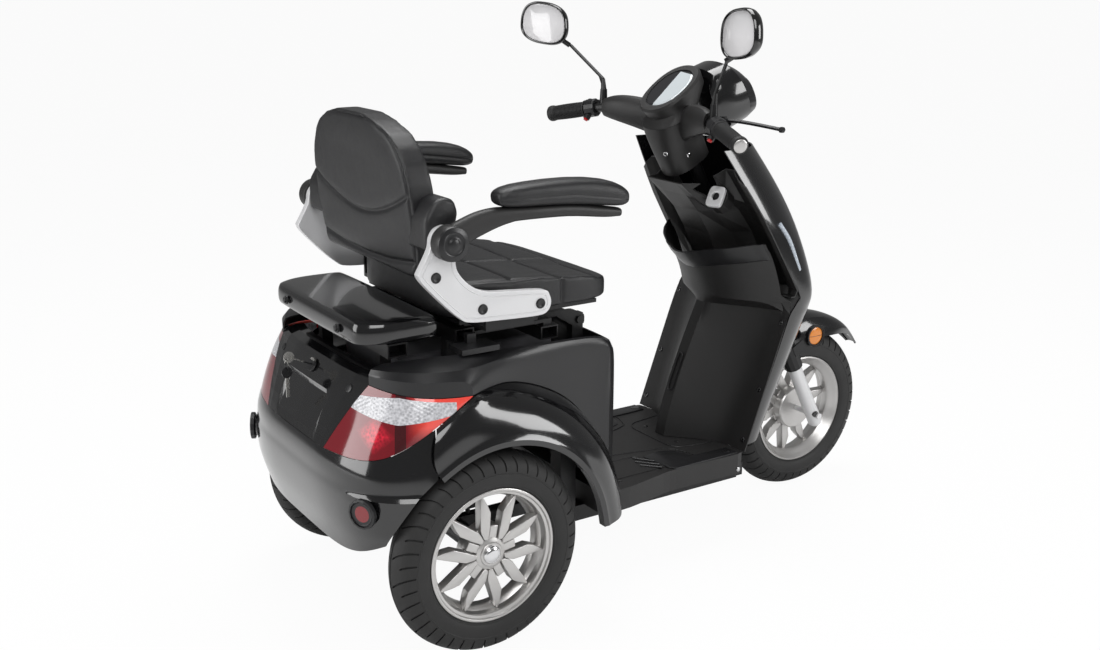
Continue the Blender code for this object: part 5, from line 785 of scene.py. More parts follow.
class MOPED_OT_wheels(bpy.types.Operator):
    """Makes the three wheels: grooved tyres, and castings of ten blades round a capped hub"""

    bl_idname = "moped.wheels"
    bl_label = "Wheels"

    def execute(self, context):
        sizes = context.scene.moped_wheels
        tyre = self.tyre(sizes)
        casting = self.casting(sizes)
        cap = spun("cap", CAP_SECTION, 48, Matrix())
        for name, body, side in WHEELS:
            low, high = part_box(name + "_tyre")
            middle = (Vector(low) + Vector(high)) / 2
            turn = Matrix.Rotation(-side * math.pi / 2, 4, "X")
            place = Matrix.Translation(middle) @ turn
            fitted(copied(tyre, name + "_tread", place), body, "tyre", name + "_tyre")
            fitted(copied(casting, name + "_casting", place), body, "silver_alloy", name + "_rim")
            fitted(copied(cap, name + "_cap", place), body, "chrome")
        for master in (tyre, casting, cap):
            bpy.data.objects.remove(master)
        return {"FINISHED"}

    def tyre(self, sizes):
        """The tyre's skin, a grid whose columns follow the curved grooves of the tread."""
        rows = TYRE_SECTION + [(radius, -reach, share) for radius, reach, share in reversed(TYRE_SECTION)]
        crown = TYRE_SECTION[-1][0]
        columns = [(pitch, column) for pitch in range(sizes.pitches) for column in GROOVE_COLUMNS]
        points = []
        for radius, reach, share in rows:
            tread = min(1.0, max(0.0, 1.0 - abs(reach) / TYRE_HALF_WIDTH))
            turn = 0.95 * tread**1.25
            shift = 0.5 * (1 - tread) if reach < 0 else 0.0
            for pitch, column in columns:
                angle = (pitch + column + turn + shift) * math.tau / sizes.pitches
                grooved = share == 1 or (share == 2 and pitch % 2 == 0)
                depth = sizes.groove_depth if grooved and abs(column) < 0.06 else 0.0
                if share == 3:
                    depth = 0.6 * sizes.groove_depth
                out = radius * sizes.tyre_radius / crown - depth
                drawn_to = reach * (1 - 0.35 * depth / TYRE_HALF_WIDTH) if share < 3 and depth else reach
                points.append((out * math.cos(angle), out * math.sin(angle), drawn_to))
        return tidied(drawn("tyre", points, faces=woven(len(rows), len(columns), closed=True)), 30.0)

    def casting(self, sizes):
        """The barrel, the hub and its five pads, and the blades on both sides of each pad."""
        parts = [spun("barrel", BARREL_SECTION, 96, Matrix()), spun("hub", HUB_SECTION, 64, Matrix())]
        for index in range(5):
            turn = Matrix.Rotation(math.tau * index / 5 + math.radians(8), 4, "Z")
            pad = [(0.02, -0.0088), (0.0585, -0.0088), (0.0585, 0.0088), (0.02, 0.0088)]
            parts.append(plate("pad", pad, 0.002, 0.0205, sizes.blade_bevel, turn))
            for side in (-1, 1):
                outline = [(x, side * y) for x, y in BLADE]
                blade = plate("blade", outline, 0.0015, 0.0245, sizes.blade_bevel, turn)
                for vertex in blade.data.vertices:
                    radius = math.hypot(vertex.co.x, vertex.co.y)
                    vertex.co.z -= 0.0045 * max(0.0, radius - 0.06) / 0.065
                parts.append(blade)
        return joined(parts, "casting")


# The cushion's top by its length, its seams, the back's half width by its height, and its middle by its height
CUSHION_TOP = ((-0.556, 0.742), (-0.45, 0.736), (-0.3, 0.73), (-0.2, 0.716), (-0.126, 0.697))
CUSHION_SEAMS = ((-0.4, 0.012), (-0.285, 0.014), (-0.19, 0.012))  # where a cross seam lies and how far it bows
BACK_OUTLINE = (
    (0.0, 0.9), (0.08, 0.955), (0.35, 1.0), (0.6, 0.975), (0.72, 0.925), (0.82, 0.835), (0.9, 0.71), (0.96, 0.51),
    (1.0, 0.24),
)
BACK_LEAN = ((0.0, -0.6), (0.3, -0.614), (0.64, -0.6265), (1.0, -0.632))
ARM_LINE = (  # forward, up and half the beam's height
    (-0.6, 0.836, 0.02), (-0.582, 0.85, 0.024), (-0.56, 0.86, 0.0235), (-0.53, 0.87, 0.0225),
    (-0.5, 0.8765, 0.0195), (-0.47, 0.8795, 0.0155), (-0.44, 0.88, 0.0135), (-0.336, 0.876, 0.0125),
    (-0.25, 0.864, 0.011), (-0.215, 0.86, 0.0085),
)


def at_share(pairs, place):
    """A straight run between pairs of place and value."""
    for (low, first), (high, second) in zip(pairs, pairs[1:]):
        if place <= high:
            share = max(0.0, (place - low) / (high - low))
            return first + (second - first) * share
    return pairs[-1][1]


class MOPED_OT_seat(bpy.types.Operator):
    """Makes the stuffed and sewn cushion, backrest and arm pads"""

    bl_idname = "moped.seat"
    bl_label = "Seat"

    def execute(self, context):
        sizes = context.scene.moped_seat
        self.cushion(sizes)
        self.back(sizes)
        for side, name in SIDES:
            self.arm_pad(sizes, side, name)
            self.arm(side, name)
        return {"FINISHED"}

    def cushion(self, sizes):
        """The cushion, with seams across, along and down its sides."""
        low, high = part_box("seat_cushion")
        margin = 0.011
        half = (high[1] - low[1]) / 2 - margin
        back, front = low[0] + margin, high[0] - margin
        outline = [((back + front) / 2 + x, y) for x, y in ring_line((front - back) / 2, half, 5.5, 64)]
        pad = plate("cushion_pad", outline, low[2] + 0.004, low[2] + 0.055, 0.014, Matrix(), 3)
        for vertex in pad.data.vertices:
            top = at_share(CUSHION_TOP, vertex.co.x) - 0.006
            share = (vertex.co.z - low[2] - 0.004) / 0.051
            vertex.co.z = low[2] + 0.003 + share * (top - low[2] - 0.003)
        inflated(pad, sizes.voxel, sizes.pressure, sizes.reach)
        for vertex in pad.data.vertices:
            vertex.co.z = max(vertex.co.z, low[2] + 0.0008)
        seams = []
        depth, width = sizes.seam_depth, sizes.seam_width
        for x, bow in CUSHION_SEAMS:
            line = [(x + bow * (1 - (y / 0.2) ** 2), y) for y in [0.2 * step / 8 for step in range(-8, 9)]]
            seams.append((line, depth, width))
        rear_seam, middle_seam, front_seam = (x for x, bow in CUSHION_SEAMS)
        for side in (-1, 1):
            line = [(-0.56, side * 0.198), (-0.42, side * 0.2), (middle_seam, side * 0.2), (middle_seam, side * 0.24)]
            seams.append((line, 0.7 * depth, width))
        seams.append(([(rear_seam, 0.0), (front_seam, 0.0)], 0.6 * depth, width))
        drawn_in(pad, seams, (0, 0, 1), 0.3)
        for side in (-1, 1):
            drawn_in(pad, [([(middle_seam, 0.66), (middle_seam, 0.75)], 0.7 * depth, width)], (0, side, 0), 0.5)
        fitted(pad, "seat", "leather", "seat_cushion")

    def back(self, sizes):
        """The backrest, with a rim, a smile and a flap sewn behind and a quilted front."""
        low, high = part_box("backrest")
        foot, top = low[2] + 0.006, high[2] - 0.008
        half = 0.219
        edge = [(half * at_share(BACK_OUTLINE, step / 28), foot + (top - foot) * (step / 28)) for step in range(29)]
        frame = Matrix(((0, 0, 1, 0), (1, 0, 0, 0), (0, 1, 0, 0), (0, 0, 0, 1)))
        pad = plate("backrest_pad", [(-y, z) for y, z in edge] + edge[::-1], -0.029, 0.029, 0.012, frame)
        for vertex in pad.data.vertices:
            rise = (vertex.co.z - foot) / (top - foot)
            lean = at_share(BACK_LEAN, rise) + 0.0035
            vertex.co.x += lean + 0.015 * (vertex.co.y / half) ** 2 + 0.004 * rise
        inflated(pad, sizes.voxel, sizes.pressure, sizes.reach)
        depth, width = sizes.seam_depth, sizes.seam_width
        inner = []
        for step in range(41):
            reach = half * at_share(BACK_OUTLINE, 0.03 + 0.93 * (step / 40)) - 0.004
            inner.append((reach, foot + (top - foot) * (step / 40) * 0.985))
        rim = [(-y, z) for y, z in inner] + inner[::-1]
        smile = [(y, 0.858 + 0.052 * abs(y / 0.2) ** 1.8) for y in [0.21 * step / 12 for step in range(-12, 13)]]
        flap = [(-0.2, 0.785), (-0.1, 0.772), (0.0, 0.768), (0.1, 0.772), (0.2, 0.785)]
        drawn_in(pad, [(smile, 0.8 * depth, width), (rim, 0.8 * depth, width), (flap, depth, width)], (-1, 0, 0), 0.3)
        front = [([(-0.15, z), (0.0, z - 0.006), (0.15, z)], depth, width) for z in (0.83, 0.89, 0.95, 1.0)]
        for side in (-1, 1):
            front.append(([(side * 0.15, 0.76), (side * 0.16, 0.9), (side * 0.12, 1.03)], 0.8 * depth, width))
        drawn_in(pad, front, (1, 0, 0), 0.3)
        whole = joined([pad] + self.ears(high[1] - 0.0005), "backrest_pad")
        fitted(whole, "back", "leather", "backrest")

    def ears(self, out):
        """The covered plates at the back's sides, which the hub pins hold."""
        points = [(-0.034, -0.022), (0.018, -0.022), (0.027, 0.0), (0.037, 0.046), (0.03, 0.07), (0.01, 0.078),
                  (-0.014, 0.072), (-0.034, 0.04)]
        return [plate("ear", points, 0.19, out, 0.01, across(side, HUB[0] + 0.0035, HUB[1]), 4) for side in (-1, 1)]

    def arm(self, side, name):
        """The arm's casting: a round hub and a beam that thins toward the front under its pad."""
        line = eased([(x, half, z) for x, z, half in ARM_LINE], 4)
        rings = []
        for index, place in enumerate(line):
            before, after = line[max(0, index - 1)], line[min(len(line) - 1, index + 1)]
            run = Vector((after.x - before.x, 0.0, after.z - before.z)).normalized()
            up = Vector((-run.z, 0.0, run.x))
            wide = 0.014 + 0.0035 * min(1.0, max(0.0, (place.x + 0.52) / 0.1))
            middle = Vector((place.x, side * ARM_SIDE, place.z))
            rings.append([middle + Vector((0, out, 0)) + up * high for out, high in ring_line(wide, place.y, 2.8, 24)])
        beam = lofted("beam", rings, 40.0)
        round_hub = [(0.0, 0.0142), (0.0305, 0.0142), (0.0325, 0.0132), (0.0332, 0.0112), (0.0332, -0.0112),
                     (0.0325, -0.0132), (0.0305, -0.0142), (0.0, -0.0142)]
        hub = spun("hub", round_hub, 56, outward(side, HUB[0], ARM_SIDE, HUB[1]), 30.0)
        node = "armrest_arm_" + name
        fitted(joined([beam, hub], "arm_" + name), name + "_armrest", SLOT_OF[node], node)

    def arm_pad(self, sizes, side, name):
        """An arm's padded rest, a seam along both its sides."""
        node = "armrest_pad_" + name
        pad = refined(node, "arm_pad_" + name, 1, 40.0, 0.7)
        for vertex in pad.data.vertices:
            vertex.co.y = side * ARM_SIDE + (vertex.co.y - side * ARM_SIDE) * 0.93
        inflated(pad, 0.0045, sizes.pressure, 0.0035)
        line = [(-0.5, 0.908), (-0.44, 0.911), (-0.33, 0.908), (-0.25, 0.895), (-0.19, 0.884)]
        for facing in (-1, 1):
            drawn_in(pad, [(line, 0.0022, 0.0026)], (0, facing, 0), 0.4)
        fitted(pad, name + "_armrest", "leather", node)


MIRRORS = {  # the head's middle, its turn, the stem's top and the casing's corner that the neck holds
    1: ((0.0386, 0.3425, 1.19), 27.0, (0.08604, 0.3, 1.13796), (0.012, -0.046, -0.04)),
    -1: ((0.0466, -0.34, 1.1945), -9.6, (0.05004, -0.3, 1.13796), (0.012, 0.026, -0.042)),
}
SIDE_STRIP = ((0.332, 0.1925, 0.756), (0.366, 0.193, 0.712), (0.402, 0.1925, 0.64))
FORK_REFLECTOR = (0.5602, 0.104, 0.433)


class MOPED_OT_lamps(bpy.types.Operator):
    """Makes the mirrors, reflectors and side lenses"""

    bl_idname = "moped.lamps"
    bl_label = "Lamps and glasses"

    def execute(self, context):
        for side, name in SIDES:
            self.mirror(side, name)
            frame, half = flat_face("rear_reflector_" + name, (-1, 0.2 * side, 0))
            radius = min(half.x, half.y)
            body = BODY_OF["rear_reflector_" + name]
            cup = [(0.0, -0.0015), (0.8 * radius, -0.0015), (0.84 * radius, 0.0002), (0.93 * radius, 0.0008),
                   (0.985 * radius, -0.0002), (0.99 * radius, -0.004), (0.0, -0.004)]
            fitted(spun("reflector_rim_" + name, cup, 48, frame, 40.0), body, "satin_black")
            sunk = frame @ Matrix.Translation((0, 0, -0.0012))
            fitted(stud("reflector_disc_" + name, sunk, 0.8 * radius, 0.0016, 0.5, 48), body, "reflector_lens")
            self.fork_reflector(side, name)
            strip = eased([mirrored(side, place) for place in SIDE_STRIP], 8)
            fitted(wire("side_lens_" + name, strip, 0.0052, 5), "chassis", "pale_lens")
        return {"FINISHED"}

    def mirror(self, side, name):
        """A mirror's casing, glass and neck. Each is turned towards the rider."""
        centre, yaw, pivot, corner = MIRRORS[side]
        frame = Matrix.Translation(centre) @ Matrix.Rotation(math.radians(yaw), 4, "Z")

        def ring(scale, depth):
            """The mirror's outline, scaled, at a depth behind the glass."""
            line = []
            for u, v in ring_line(0.064, 0.05, 2.6, 56):
                inner = -side * u / 0.064
                v *= 1 - 0.13 * inner if v > 0 else 1 + 0.16 * inner
                line.append(frame @ Vector((depth, u * scale * (1 - 0.05 * v / 0.05), v * scale)))
            return line

        casing = [(0.885, -0.0008), (0.9, -0.0036), (0.93, -0.0048), (0.965, -0.0044), (0.99, -0.0022), (1.0, 0.0015),
                  (0.995, 0.006), (0.96, 0.0125), (0.88, 0.0185), (0.74, 0.0235), (0.52, 0.027), (0.25, 0.029)]
        head = lofted("casing", [ring(scale, depth) for scale, depth in casing], 40.0)
        pivot, root = Vector(pivot), frame @ Vector(corner)
        neck = wire("neck", eased([pivot + Vector((0, 0, 0.0004)), pivot + (root - pivot) * 0.5, root], 6), 0.006, 6)
        node = "mirror_head_" + name
        fitted(joined([head, neck], "mirror_" + name), name + "_mirror", SLOT_OF[node], node)
        glass = [ring(0.884, -0.0002), ring(0.884, -0.0016), ring(0.87, -0.0022)]
        fitted(lofted("mirror_glass_" + name, glass, 40.0), name + "_mirror", "mirror_glass")

    def fork_reflector(self, side, name):
        """A round orange reflector in a black cup on the fork's leg."""
        frame = outward(side, *FORK_REFLECTOR)
        cup = [(0.0, 0.0), (0.0225, 0.0), (0.0235, 0.006), (0.0255, 0.0064), (0.0265, 0.005), (0.0265, -0.006),
               (0.0, -0.006)]
        fitted(spun("side_reflector_cup_" + name, cup, 40, frame, 40.0), "steering", "satin_black")
        lens = stud("side_reflector_" + name, frame @ Matrix.Translation((0, 0, 0.0004)), 0.0222, 0.0056, 0.4, 40)
        fitted(lens, "steering", "orange_lens")
        bar = [frame @ Vector((0.0215 * t / 6, 0.0, 0.0058 - 0.0014 * (t / 6) ** 2)) for t in range(-6, 7)]
        fitted(wire("side_reflector_bar_" + name, bar, 0.0006, 4), "steering", "satin_black")


RIBS = 22  # the rings round a grip
GRIP_END = (0.0631, 0.341, 0.972)
GRIP_AXIS = (-0.318, 0.932, -0.1775)


class MOPED_OT_bar(bpy.types.Operator):
    """Makes the ribbed grips and the bar's caps"""

    bl_idname = "moped.bar"
    bl_label = "Grips"

    def execute(self, context):
        for (side, name), node in zip(SIDES, ("grip_left", "throttle_grip")):
            frame = standing(mirrored(side, GRIP_END), mirrored(side, GRIP_AXIS))
            section = [(0.0085, -0.1085), (0.02, -0.1085), (0.0204, -0.1075), (0.0204, -0.105), (0.0196, -0.104),
                       (0.017, -0.103)]
            for rib in range(RIBS):
                reach = -0.1015 + 0.004 * rib
                swell = 0.0008 * math.sin(math.pi * (rib + 0.5) / RIBS)
                section += [(0.0162 + swell, reach), (0.0176 + swell, reach + 0.0006), (0.0176 + swell, reach + 0.0022),
                            (0.0162 + swell, reach + 0.0028)]
            section += [(0.0168, -0.012), (0.0186, -0.0105), (0.0192, -0.007), (0.0192, -0.002), (0.0182, 0.001),
                        (0.016, 0.0018), (0.015, 0.0012), (0.0085, 0.0006)]
            grip = spun("ribbed_grip_" + name, section, 48, frame, 30.0)
            fitted(grip, BODY_OF[node], SLOT_OF[node], node)
            cap = [(0.0, 0.004), (0.008, 0.0039), (0.0128, 0.0034), (0.0146, 0.0022), (0.015, -0.001), (0.0, -0.001)]
            cap = spun("bar_cap_" + name, cap, 32, frame, 40.0)
            fitted(cap, "steering", "silver_alloy" if side < 0 else "satin_black")
        return {"FINISHED"}


BRACKET = [  # the bracket's outline, forward and up
    (-0.6505, 0.782), (-0.6415, 0.766), (-0.602, 0.724), (-0.565, 0.69), (-0.54, 0.6775), (-0.465, 0.672),
    (-0.3875, 0.669), (-0.366, 0.6745), (-0.3575, 0.69), (-0.361, 0.707), (-0.374, 0.7185), (-0.44, 0.7255),
    (-0.5, 0.732), (-0.537, 0.7475), (-0.565, 0.776), (-0.572, 0.803), (-0.5658, 0.8301), (-0.5652, 0.8483),
    (-0.5756, 0.8632), (-0.593, 0.869), (-0.6104, 0.8632), (-0.6207, 0.8485), (-0.626, 0.825),
]
BRACKET_CAPS = ((-0.614, 0.774), (-0.514, 0.7), (-0.383, 0.693))
BRACKET_FACE = 0.285  # its outer face, from the part's middle
RACK_BOLT = (-0.7448, 0.125, 0.659)
# A place and the way that it faces
KEY_PLATE = ((0.228, -0.092, 0.812), (-0.8, -0.25, 0.54))
COLUMN_SLOT = ((0.2033, 0, 0.373), (-0.94, 0, 0.35))
FLOOR_ARC = [(0.129, 0.0), (0.129, 0.04), (0.132, 0.072), (0.15, 0.093), (0.193, 0.101), (0.235, 0.106)]
FLOOR_RUN = [(-0.11, 0.052), (-0.021, 0.056), (0.034, 0.067), (0.086, 0.078), (0.122, 0.094), (0.134, 0.118),
             (0.142, 0.146), (0.146, 0.19)]
FLOOR_EDGE = [(-0.112, 0.08), (-0.01, 0.086), (0.012, 0.092), (0.02, 0.108)]
FLOOR_PAD = [(0.03, 0.1), (0.08, 0.092), (0.112, 0.104), (0.124, 0.128), (0.13, 0.155), (0.235, 0.158),
             (0.235, 0.196), (0.05, 0.196), (0.04, 0.18), (0.036, 0.14)]
FLOOR_RIBS = (((0.004, 0.096), (0.034, 0.138)), ((-0.004, 0.116), (0.032, 0.16)), ((-0.008, 0.138), (0.026, 0.176)))
FLOOR_PLUGS = [(0.219, 0.176, 0.0125, 0.0075), (0.222, -0.176, 0.0125, 0.0075), (0.165, 0.06, 0.006, 0.0045),
               (0.165, -0.06, 0.006, 0.0045), (-0.099, -0.182, 0.005, 0.004), (-0.099, 0.182, 0.005, 0.004)]
GUSSET = (  # its upper and lower edge, from the shield outward
    ((0.384, 0.13, 0.594), (0.362, 0.16, 0.535)), ((0.386, 0.15, 0.597), (0.366, 0.178, 0.535)),
    ((0.397, 0.176, 0.602), (0.376, 0.188, 0.535)), ((0.408, 0.195, 0.606), (0.402, 0.195, 0.535)),
)
BACKWARD = (-0.94, 0, 0.34)  # square to the leg shield
SCREWS = [  # the solid that it holds, finish, body, radius and height; and each one's place and the way that it faces
    ("column_cover", "chrome", "steering", 0.0055, 0.003,
     [((0.12, -0.029, 0.906), (-0.8, -0.25, -0.55)), ((0.179, -0.06, 0.907), (-0.3, -0.93, -0.2))]),
    ("rear_panel", "satin_black", "chassis", 0.0085, 0.002,
     [((-0.742, side * 0.162, 0.549), (-1, 0, 0.3)) for side in (1, -1)]),
    ("floor_board", "chrome", "chassis", 0.0058, 0.003,
     [((0.2383, side * 0.1987, 0.1788), (0.3, side * 0.95, 0.0)) for side in (-1, 1)]),
    ("fork_lower", "gloss_black", "fork_lowers", 0.0082, 0.0042,
     [((0.5904, side * 0.0955, 0.2164), (-0.23, side * 0.97, -0.12)) for side in (-1, 1)]),
    ("leg_shield", "gloss_black", "chassis", 0.0062, 0.0032,
     [((0.362, -0.186, 0.5162), BACKWARD), ((0.362, 0.186, 0.5162), BACKWARD), ((0.3054, -0.184, 0.3607), BACKWARD),
      ((0.3065, 0.184, 0.3637), BACKWARD), ((0.2627, -0.184, 0.2431), BACKWARD), ((0.2639, 0.184, 0.2465), BACKWARD)]),
]


def shrunk(outline, inset):
    """An outline's points moved inward, square to their neighbours."""
    line = []
    turn = sum(a[0] * b[1] - b[0] * a[1] for a, b in zip(outline, outline[1:] + outline[:1]))
    for index, (x, z) in enumerate(outline):
        (bx, bz), (ax, az) = outline[index - 1], outline[(index + 1) % len(outline)]
        run = Vector((ax - bx, az - bz)).normalized() * (1 if turn > 0 else -1)
        line.append((x - run.y * inset, z + run.x * inset))
    return line


class MOPED_OT_fittings(bpy.types.Operator):
    """Makes the caps, screws, plugs and the floor's embossing"""

    bl_idname = "moped.fittings"
    bl_label = "Fittings"

    def execute(self, context):
        for side, name in SIDES:
            self.bracket(side, name)
            behind = standing(mirrored(side, RACK_BOLT), (-1, 0, 0))
            fitted(hex_bolt("rack_bolt_" + name, behind, 0.0062, 0.005), "chassis", "satin_black")
        self.screws()
        self.key_plate()
        self.floor()
        self.pocket_lip()
        self.shield()
        return {"FINISHED"}

    def bracket(self, side, name):
        """The silver bracket with a ridge inside its edge, its caps, and the hub's disc."""
        node = "seat_bracket_" + name
        outline = [(place.x, place.z) for place in eased([(x, 0.0, z) for x, z in BRACKET + BRACKET[:1]], 5)[:-1]]
        slab = plate("slab", outline, 0.2672, BRACKET_FACE, 0.0026, across(side), 4)
        edge = [Vector((x, side * BRACKET_FACE, z)) for x, z in shrunk(outline, 0.0085)]
        ridge = wire("ridge", edge, 0.0011, 2, True)
        pin = spun("pin", [(0.0, 0.236), (0.0115, 0.236), (0.0115, 0.3105), (0.0, 0.3105)], 32, across(side, *HUB))
        fitted(joined([slab, ridge, pin], "chair_bracket_" + name), "seat", SLOT_OF[node], node)
        cup = [(0.0, 0.0026), (0.0055, 0.0026), (0.0066, 0.0032), (0.0092, 0.003), (0.0104, 0.0014), (0.0105, -0.001),
               (0.0, -0.001)]
        caps = [spun("cap", cup, 36, outward(side, x, 0.2851, z), 40.0) for x, z in BRACKET_CAPS]
        fitted(joined(caps, "bracket_caps_" + name), "seat", "satin_black")
        frame = outward(side, HUB[0], 0.3153, HUB[1])
        disc = [(0.0, 0.006), (0.006, 0.0058), (0.0105, 0.0046), (0.0125, 0.003), (0.015, 0.0024), (0.019, 0.0024),
                (0.0205, 0.0034), (0.0225, 0.0036), (0.024, 0.0026), (0.0295, 0.0022), (0.0318, 0.0012),
                (0.0328, -0.001), (0.0, -0.001)]
        hub = spun("hub_disc_" + name, disc, 56, frame, 30.0)
        fitted(hub, name + "_armrest", "satin_black")

    def key_plate(self):
        """The long silver plate round the ignition's barrel, with a bore for it."""
        frame = standing(*KEY_PLATE)
        barrel = [frame.inverted() @ vertex.co for vertex in NODES["ignition_barrel"].data.vertices]
        bore = max(place.xy.length for place in barrel) + 0.0004
        points, count = [], 48
        for index, (x, y) in enumerate(ring_line(0.0205, 0.0255, 4.5, count)):
            angle = math.tau * index / count
            hole = Vector((bore * math.cos(angle), bore * math.sin(angle), 0.0))
            edge = Vector((x, y, 0.0))
            for place, height in ((hole, 0.0), (edge, 0.0), (edge, 0.0066), (edge * 0.975, 0.0076),
                                  (edge * 0.93, 0.008), (hole * 1.06, 0.008), (hole, 0.0076)):
                points.append(frame @ (place + Vector((0.0, 0.0, height))))
        slab = drawn("key_plate", points, faces=woven(count, len(points) // count, closed=True))
        fitted(tidied(slab, 40.0), "chassis", "silver_paint", "ignition_plate")

    def screws(self):
        """Bolts and plugs, each on the surface that it holds."""
        number = 0
        for node, slot, body, radius, height, places in SCREWS:
            for place, out in places:
                found, normal, _, _ = skin_of(node).find_nearest(Vector(place))
                if normal.dot(Vector(out)) < 0:
                    normal = Vector(out).normalized()
                head = stud(f"screw_{number}", standing(found + normal * 0.0002, normal), radius, height, 0.4, 24)
                fitted(head, body, slot)
                number += 1

    def pocket_lip(self):
        """The broad rolled lip round the top of the leg shield's pocket."""
        def behind(y, z):
            """The shield's surface as seen from the seat."""
            return laid_on("leg_shield", [(0.15, y, z)], (1, 0, 0))

        rings = []
        for step in range(-24, 25):
            y = 0.185 * math.sin(step / 24 * math.pi / 2)
            skin = behind(y, 0.6)
            tops = [place for rise in range(40) for place in behind(y, 0.63 + 0.002 * rise)
                    if skin and place.x < skin[0].x + 0.004]
            if tops:
                high = max(tops, key=lambda place: place.z)
                low = (behind(y, high.z - 0.04) or [high])[0]
                out, back, up = Vector((-0.0045, 0, 0)), Vector((0.004, 0, 0)), Vector((0, 0, 0.002))
                rings.append([low + back, low, low + out * 0.6 + up, low.lerp(high, 0.5) + out, high + out * 0.8,
                              high + up, high + back])
        fitted(lofted("pocket_lip", rings, 50.0), "chassis", "satin_black")

    def shield(self):
        """The slot's rim on the column's ridge, and the gussets beside the leg shield."""
        frame = standing(*COLUMN_SLOT)
        slot = [frame @ Vector((x, y, 0.001)) for x, y in ring_line(0.0075, 0.047, 6.0, 40)]
        fitted(wire("column_slot", slot, 0.0018, 4, True), "chassis", "satin_black")
        for side, name in SIDES:
            rings = []
            for top, low in GUSSET:
                top, low, back = (mirrored(side, place) for place in (top, low, (0.002, -0.001, 0.0)))
                middle = top.lerp(low, 0.5)
                rings.append([top, middle, low, low + back, middle + back, top + back])
            fitted(lofted("shield_gusset_" + name, rings, 50.0), "chassis", "matte_black")

    def floor(self):
        """Raised lines, foot pads with their ribs, and plugs on the floor."""
        def on_floor(points):
            return laid_on("floor_board", [(x, y, 0.2) for x, y in points], (0, 0, -1), 0.0003)

        def line(points, radius, side=1):
            return wire("line", on_floor(eased_flat([(x, side * y) for x, y in points], 6)), radius, 2)

        lines = [line([(x, -y) for x, y in reversed(FLOOR_ARC[1:])] + FLOOR_ARC, 0.0015)]
        made = []
        for side in (-1, 1):
            lines += [line(FLOOR_RUN, 0.0015, side), line(FLOOR_EDGE, 0.0013, side)]
            made.append(plate("pad", [(x, side * y) for x, y in FLOOR_PAD], 0.215, 0.2214, 0.0012, Matrix(), 2))
            for start, end in FLOOR_RIBS:
                points = [(start[0], side * start[1], 0.2202), (end[0], side * end[1], 0.221)]
                made.append(wire("rib", eased(points, 6), 0.0032, 4))
        fitted(joined(lines, "floor_lines"), "chassis", "satin_black")
        fitted(joined(made, "floor_pads"), "chassis", "satin_black")
        for number, (x, y, long, wide) in enumerate(FLOOR_PLUGS):
            place = Matrix.Translation(on_floor([(x, y)])[0])
            lift = 0.0034 if long > 0.01 else 0.0008
            plug = plate(f"floor_plug_{number}", ring_line(long, wide, 2.4, 32), -0.001, lift, 0.0004, place, 2)
            fitted(plug, "chassis", "gloss_black")


def joint_shaders(tree, share, first, second, end):
    """Shows a second shader over a first by a share."""
    mixed = tree.nodes.new("ShaderNodeMixShader")
    for index, socket in enumerate((share, first.outputs[0], second.outputs[0])):
        tree.links.new(socket, mixed.inputs[index])
    tree.links.new(mixed.outputs[0], tree.nodes[end].inputs["Surface"])


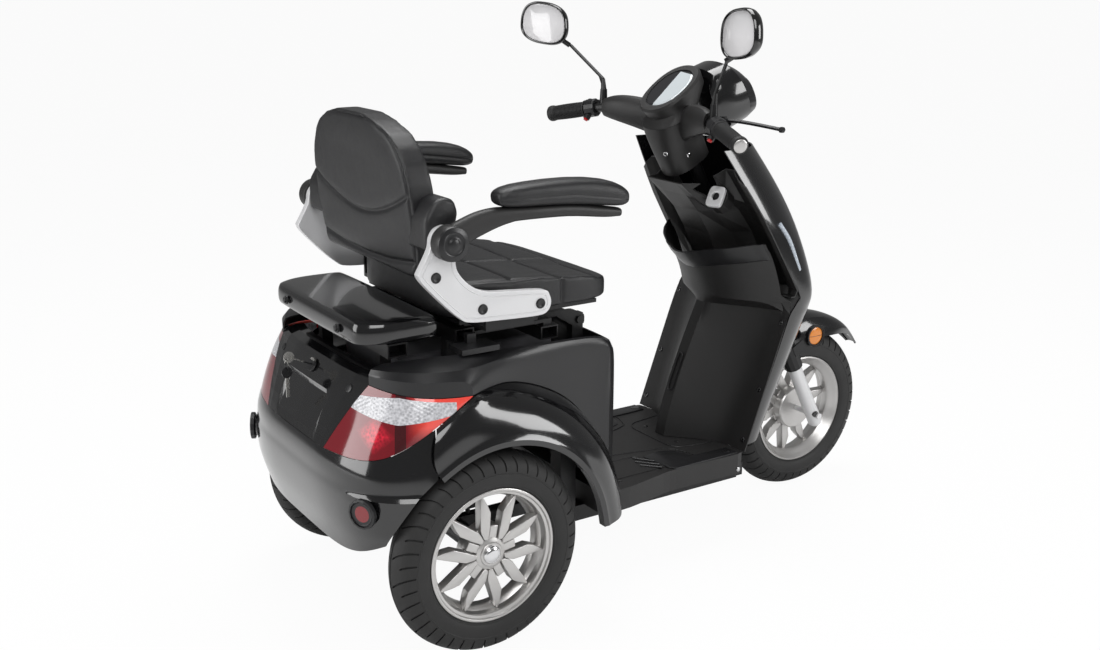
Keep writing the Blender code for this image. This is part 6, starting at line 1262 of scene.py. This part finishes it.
class MOPED_OT_stage(bpy.types.Operator):
    """Makes the floor, the lamps, the sky and the camera"""

    bl_idname = "moped.stage"
    bl_label = "Stage"

    def execute(self, context):
        sizes = context.scene.moped_stage
        self.add_floor(sizes)
        self.add_sky(context.scene)
        self.add_lamps(sizes)
        self.add_camera(context.scene, sizes)
        context.scene.view_settings.view_transform = "Standard"
        return {"FINISHED"}

    def add_floor(self, sizes):
        deselect()
        bpy.ops.mesh.primitive_plane_add(size=sizes.floor_size, location=(0.0, 0.0, -0.0005))
        floor = bpy.context.object
        floor.name = "studio_floor"
        material = bpy.data.materials.new("studio_floor")
        material.use_nodes = True
        tree = material.node_tree
        shader = tree.nodes["Principled BSDF"]
        shader.inputs["Base Color"].default_value = (0.85, 0.85, 0.85, 1.0)
        shader.inputs["Roughness"].default_value = 0.9
        shader.inputs["Specular IOR Level"].default_value = 0.0
        glow = tree.nodes.new("ShaderNodeEmission")
        path = tree.nodes.new("ShaderNodeLightPath")
        factor = tree.nodes.new("ShaderNodeMath")
        factor.operation = "MULTIPLY"
        factor.inputs[1].default_value = 0.95
        tree.links.new(path.outputs["Is Camera Ray"], factor.inputs[0])
        joint_shaders(tree, factor.outputs[0], shader, glow, "Material Output")
        floor.data.materials.append(material)

    def add_sky(self, scene):
        sky = bpy.data.worlds.new("studio_sky")
        sky.use_nodes = True
        tree = sky.node_tree
        base = tree.nodes["Background"]
        base.inputs["Color"].default_value = (1.0, 1.0, 1.0, 1.0)
        base.inputs["Strength"].default_value = 0.2
        white = tree.nodes.new("ShaderNodeBackground")
        white.inputs["Strength"].default_value = 1.0
        path = tree.nodes.new("ShaderNodeLightPath")
        joint_shaders(tree, path.outputs["Is Camera Ray"], base, white, "World Output")
        scene.world = sky

    def add_lamps(self, sizes):
        aim = Vector((0.0, 0.0, 0.5))
        lamps = [
            ("key_lamp", (-1.8, -3.4, 3.4), 2.4, 1.3),
            ("side_lamp", (2.6, -3.0, 1.6), 1.6, 0.8),
            ("rear_lamp", (-4.2, 0.9, 1.5), 2.4, 1.1),
            ("top_lamp", (0.2, 0.4, 3.6), 2.2, 1.2),
        ]
        for name, place, size, share in lamps:
            data = bpy.data.lights.new(name, "AREA")
            data.shape = "SQUARE"
            data.size = size
            data.energy = sizes.key_power * share
            lamp = linked(name, data)
            lamp.location = place
            lamp.rotation_euler = (aim - Vector(place)).to_track_quat("-Z", "Y").to_euler()

    def add_camera(self, scene, sizes):
        data = bpy.data.cameras.new("camera")
        data.lens = sizes.lens
        data.sensor_width = 36.0
        data.shift_x, data.shift_y = sizes.shift
        data.clip_end = 100.0
        camera = linked("camera", data)
        turn = Matrix.Rotation(sizes.azimuth, 4, "Z") @ Matrix.Rotation(math.pi / 2 - sizes.elevation, 4, "X")
        turn = turn @ Matrix.Rotation(sizes.roll, 4, "Z")
        camera.matrix_world = Matrix.Translation(sizes.place) @ turn
        scene.camera = camera


class MOPED_PT_looks(bpy.types.Panel):
    """The moped's looks, step by step"""

    bl_label = "Moped"
    bl_idname = "MOPED_PT_looks"
    bl_space_type = "VIEW_3D"
    bl_region_type = "UI"
    bl_category = "Moped"

    def draw(self, context):
        for operator in OPERATORS:
            self.layout.operator(operator.bl_idname)


OPERATORS = (MOPED_OT_finishes, MOPED_OT_panels, MOPED_OT_wheels, MOPED_OT_seat, MOPED_OT_lamps,
             MOPED_OT_bar, MOPED_OT_fittings, MOPED_OT_stage)
CLASSES = (WheelSizes, SeatSizes, StageSizes, *OPERATORS, MOPED_PT_looks)


def register():
    for item in CLASSES:
        bpy.utils.register_class(item)
    bpy.types.Scene.moped_wheels = PointerProperty(type=WheelSizes)
    bpy.types.Scene.moped_seat = PointerProperty(type=SeatSizes)
    bpy.types.Scene.moped_stage = PointerProperty(type=StageSizes)


def unregister():
    del bpy.types.Scene.moped_stage
    del bpy.types.Scene.moped_seat
    del bpy.types.Scene.moped_wheels
    for item in reversed(CLASSES):
        bpy.utils.unregister_class(item)


def main():
    register()
    for operator in OPERATORS:
        group, name = operator.bl_idname.split(".")
        getattr(getattr(bpy.ops, group), name)()


if __name__ == "__main__":
    main()
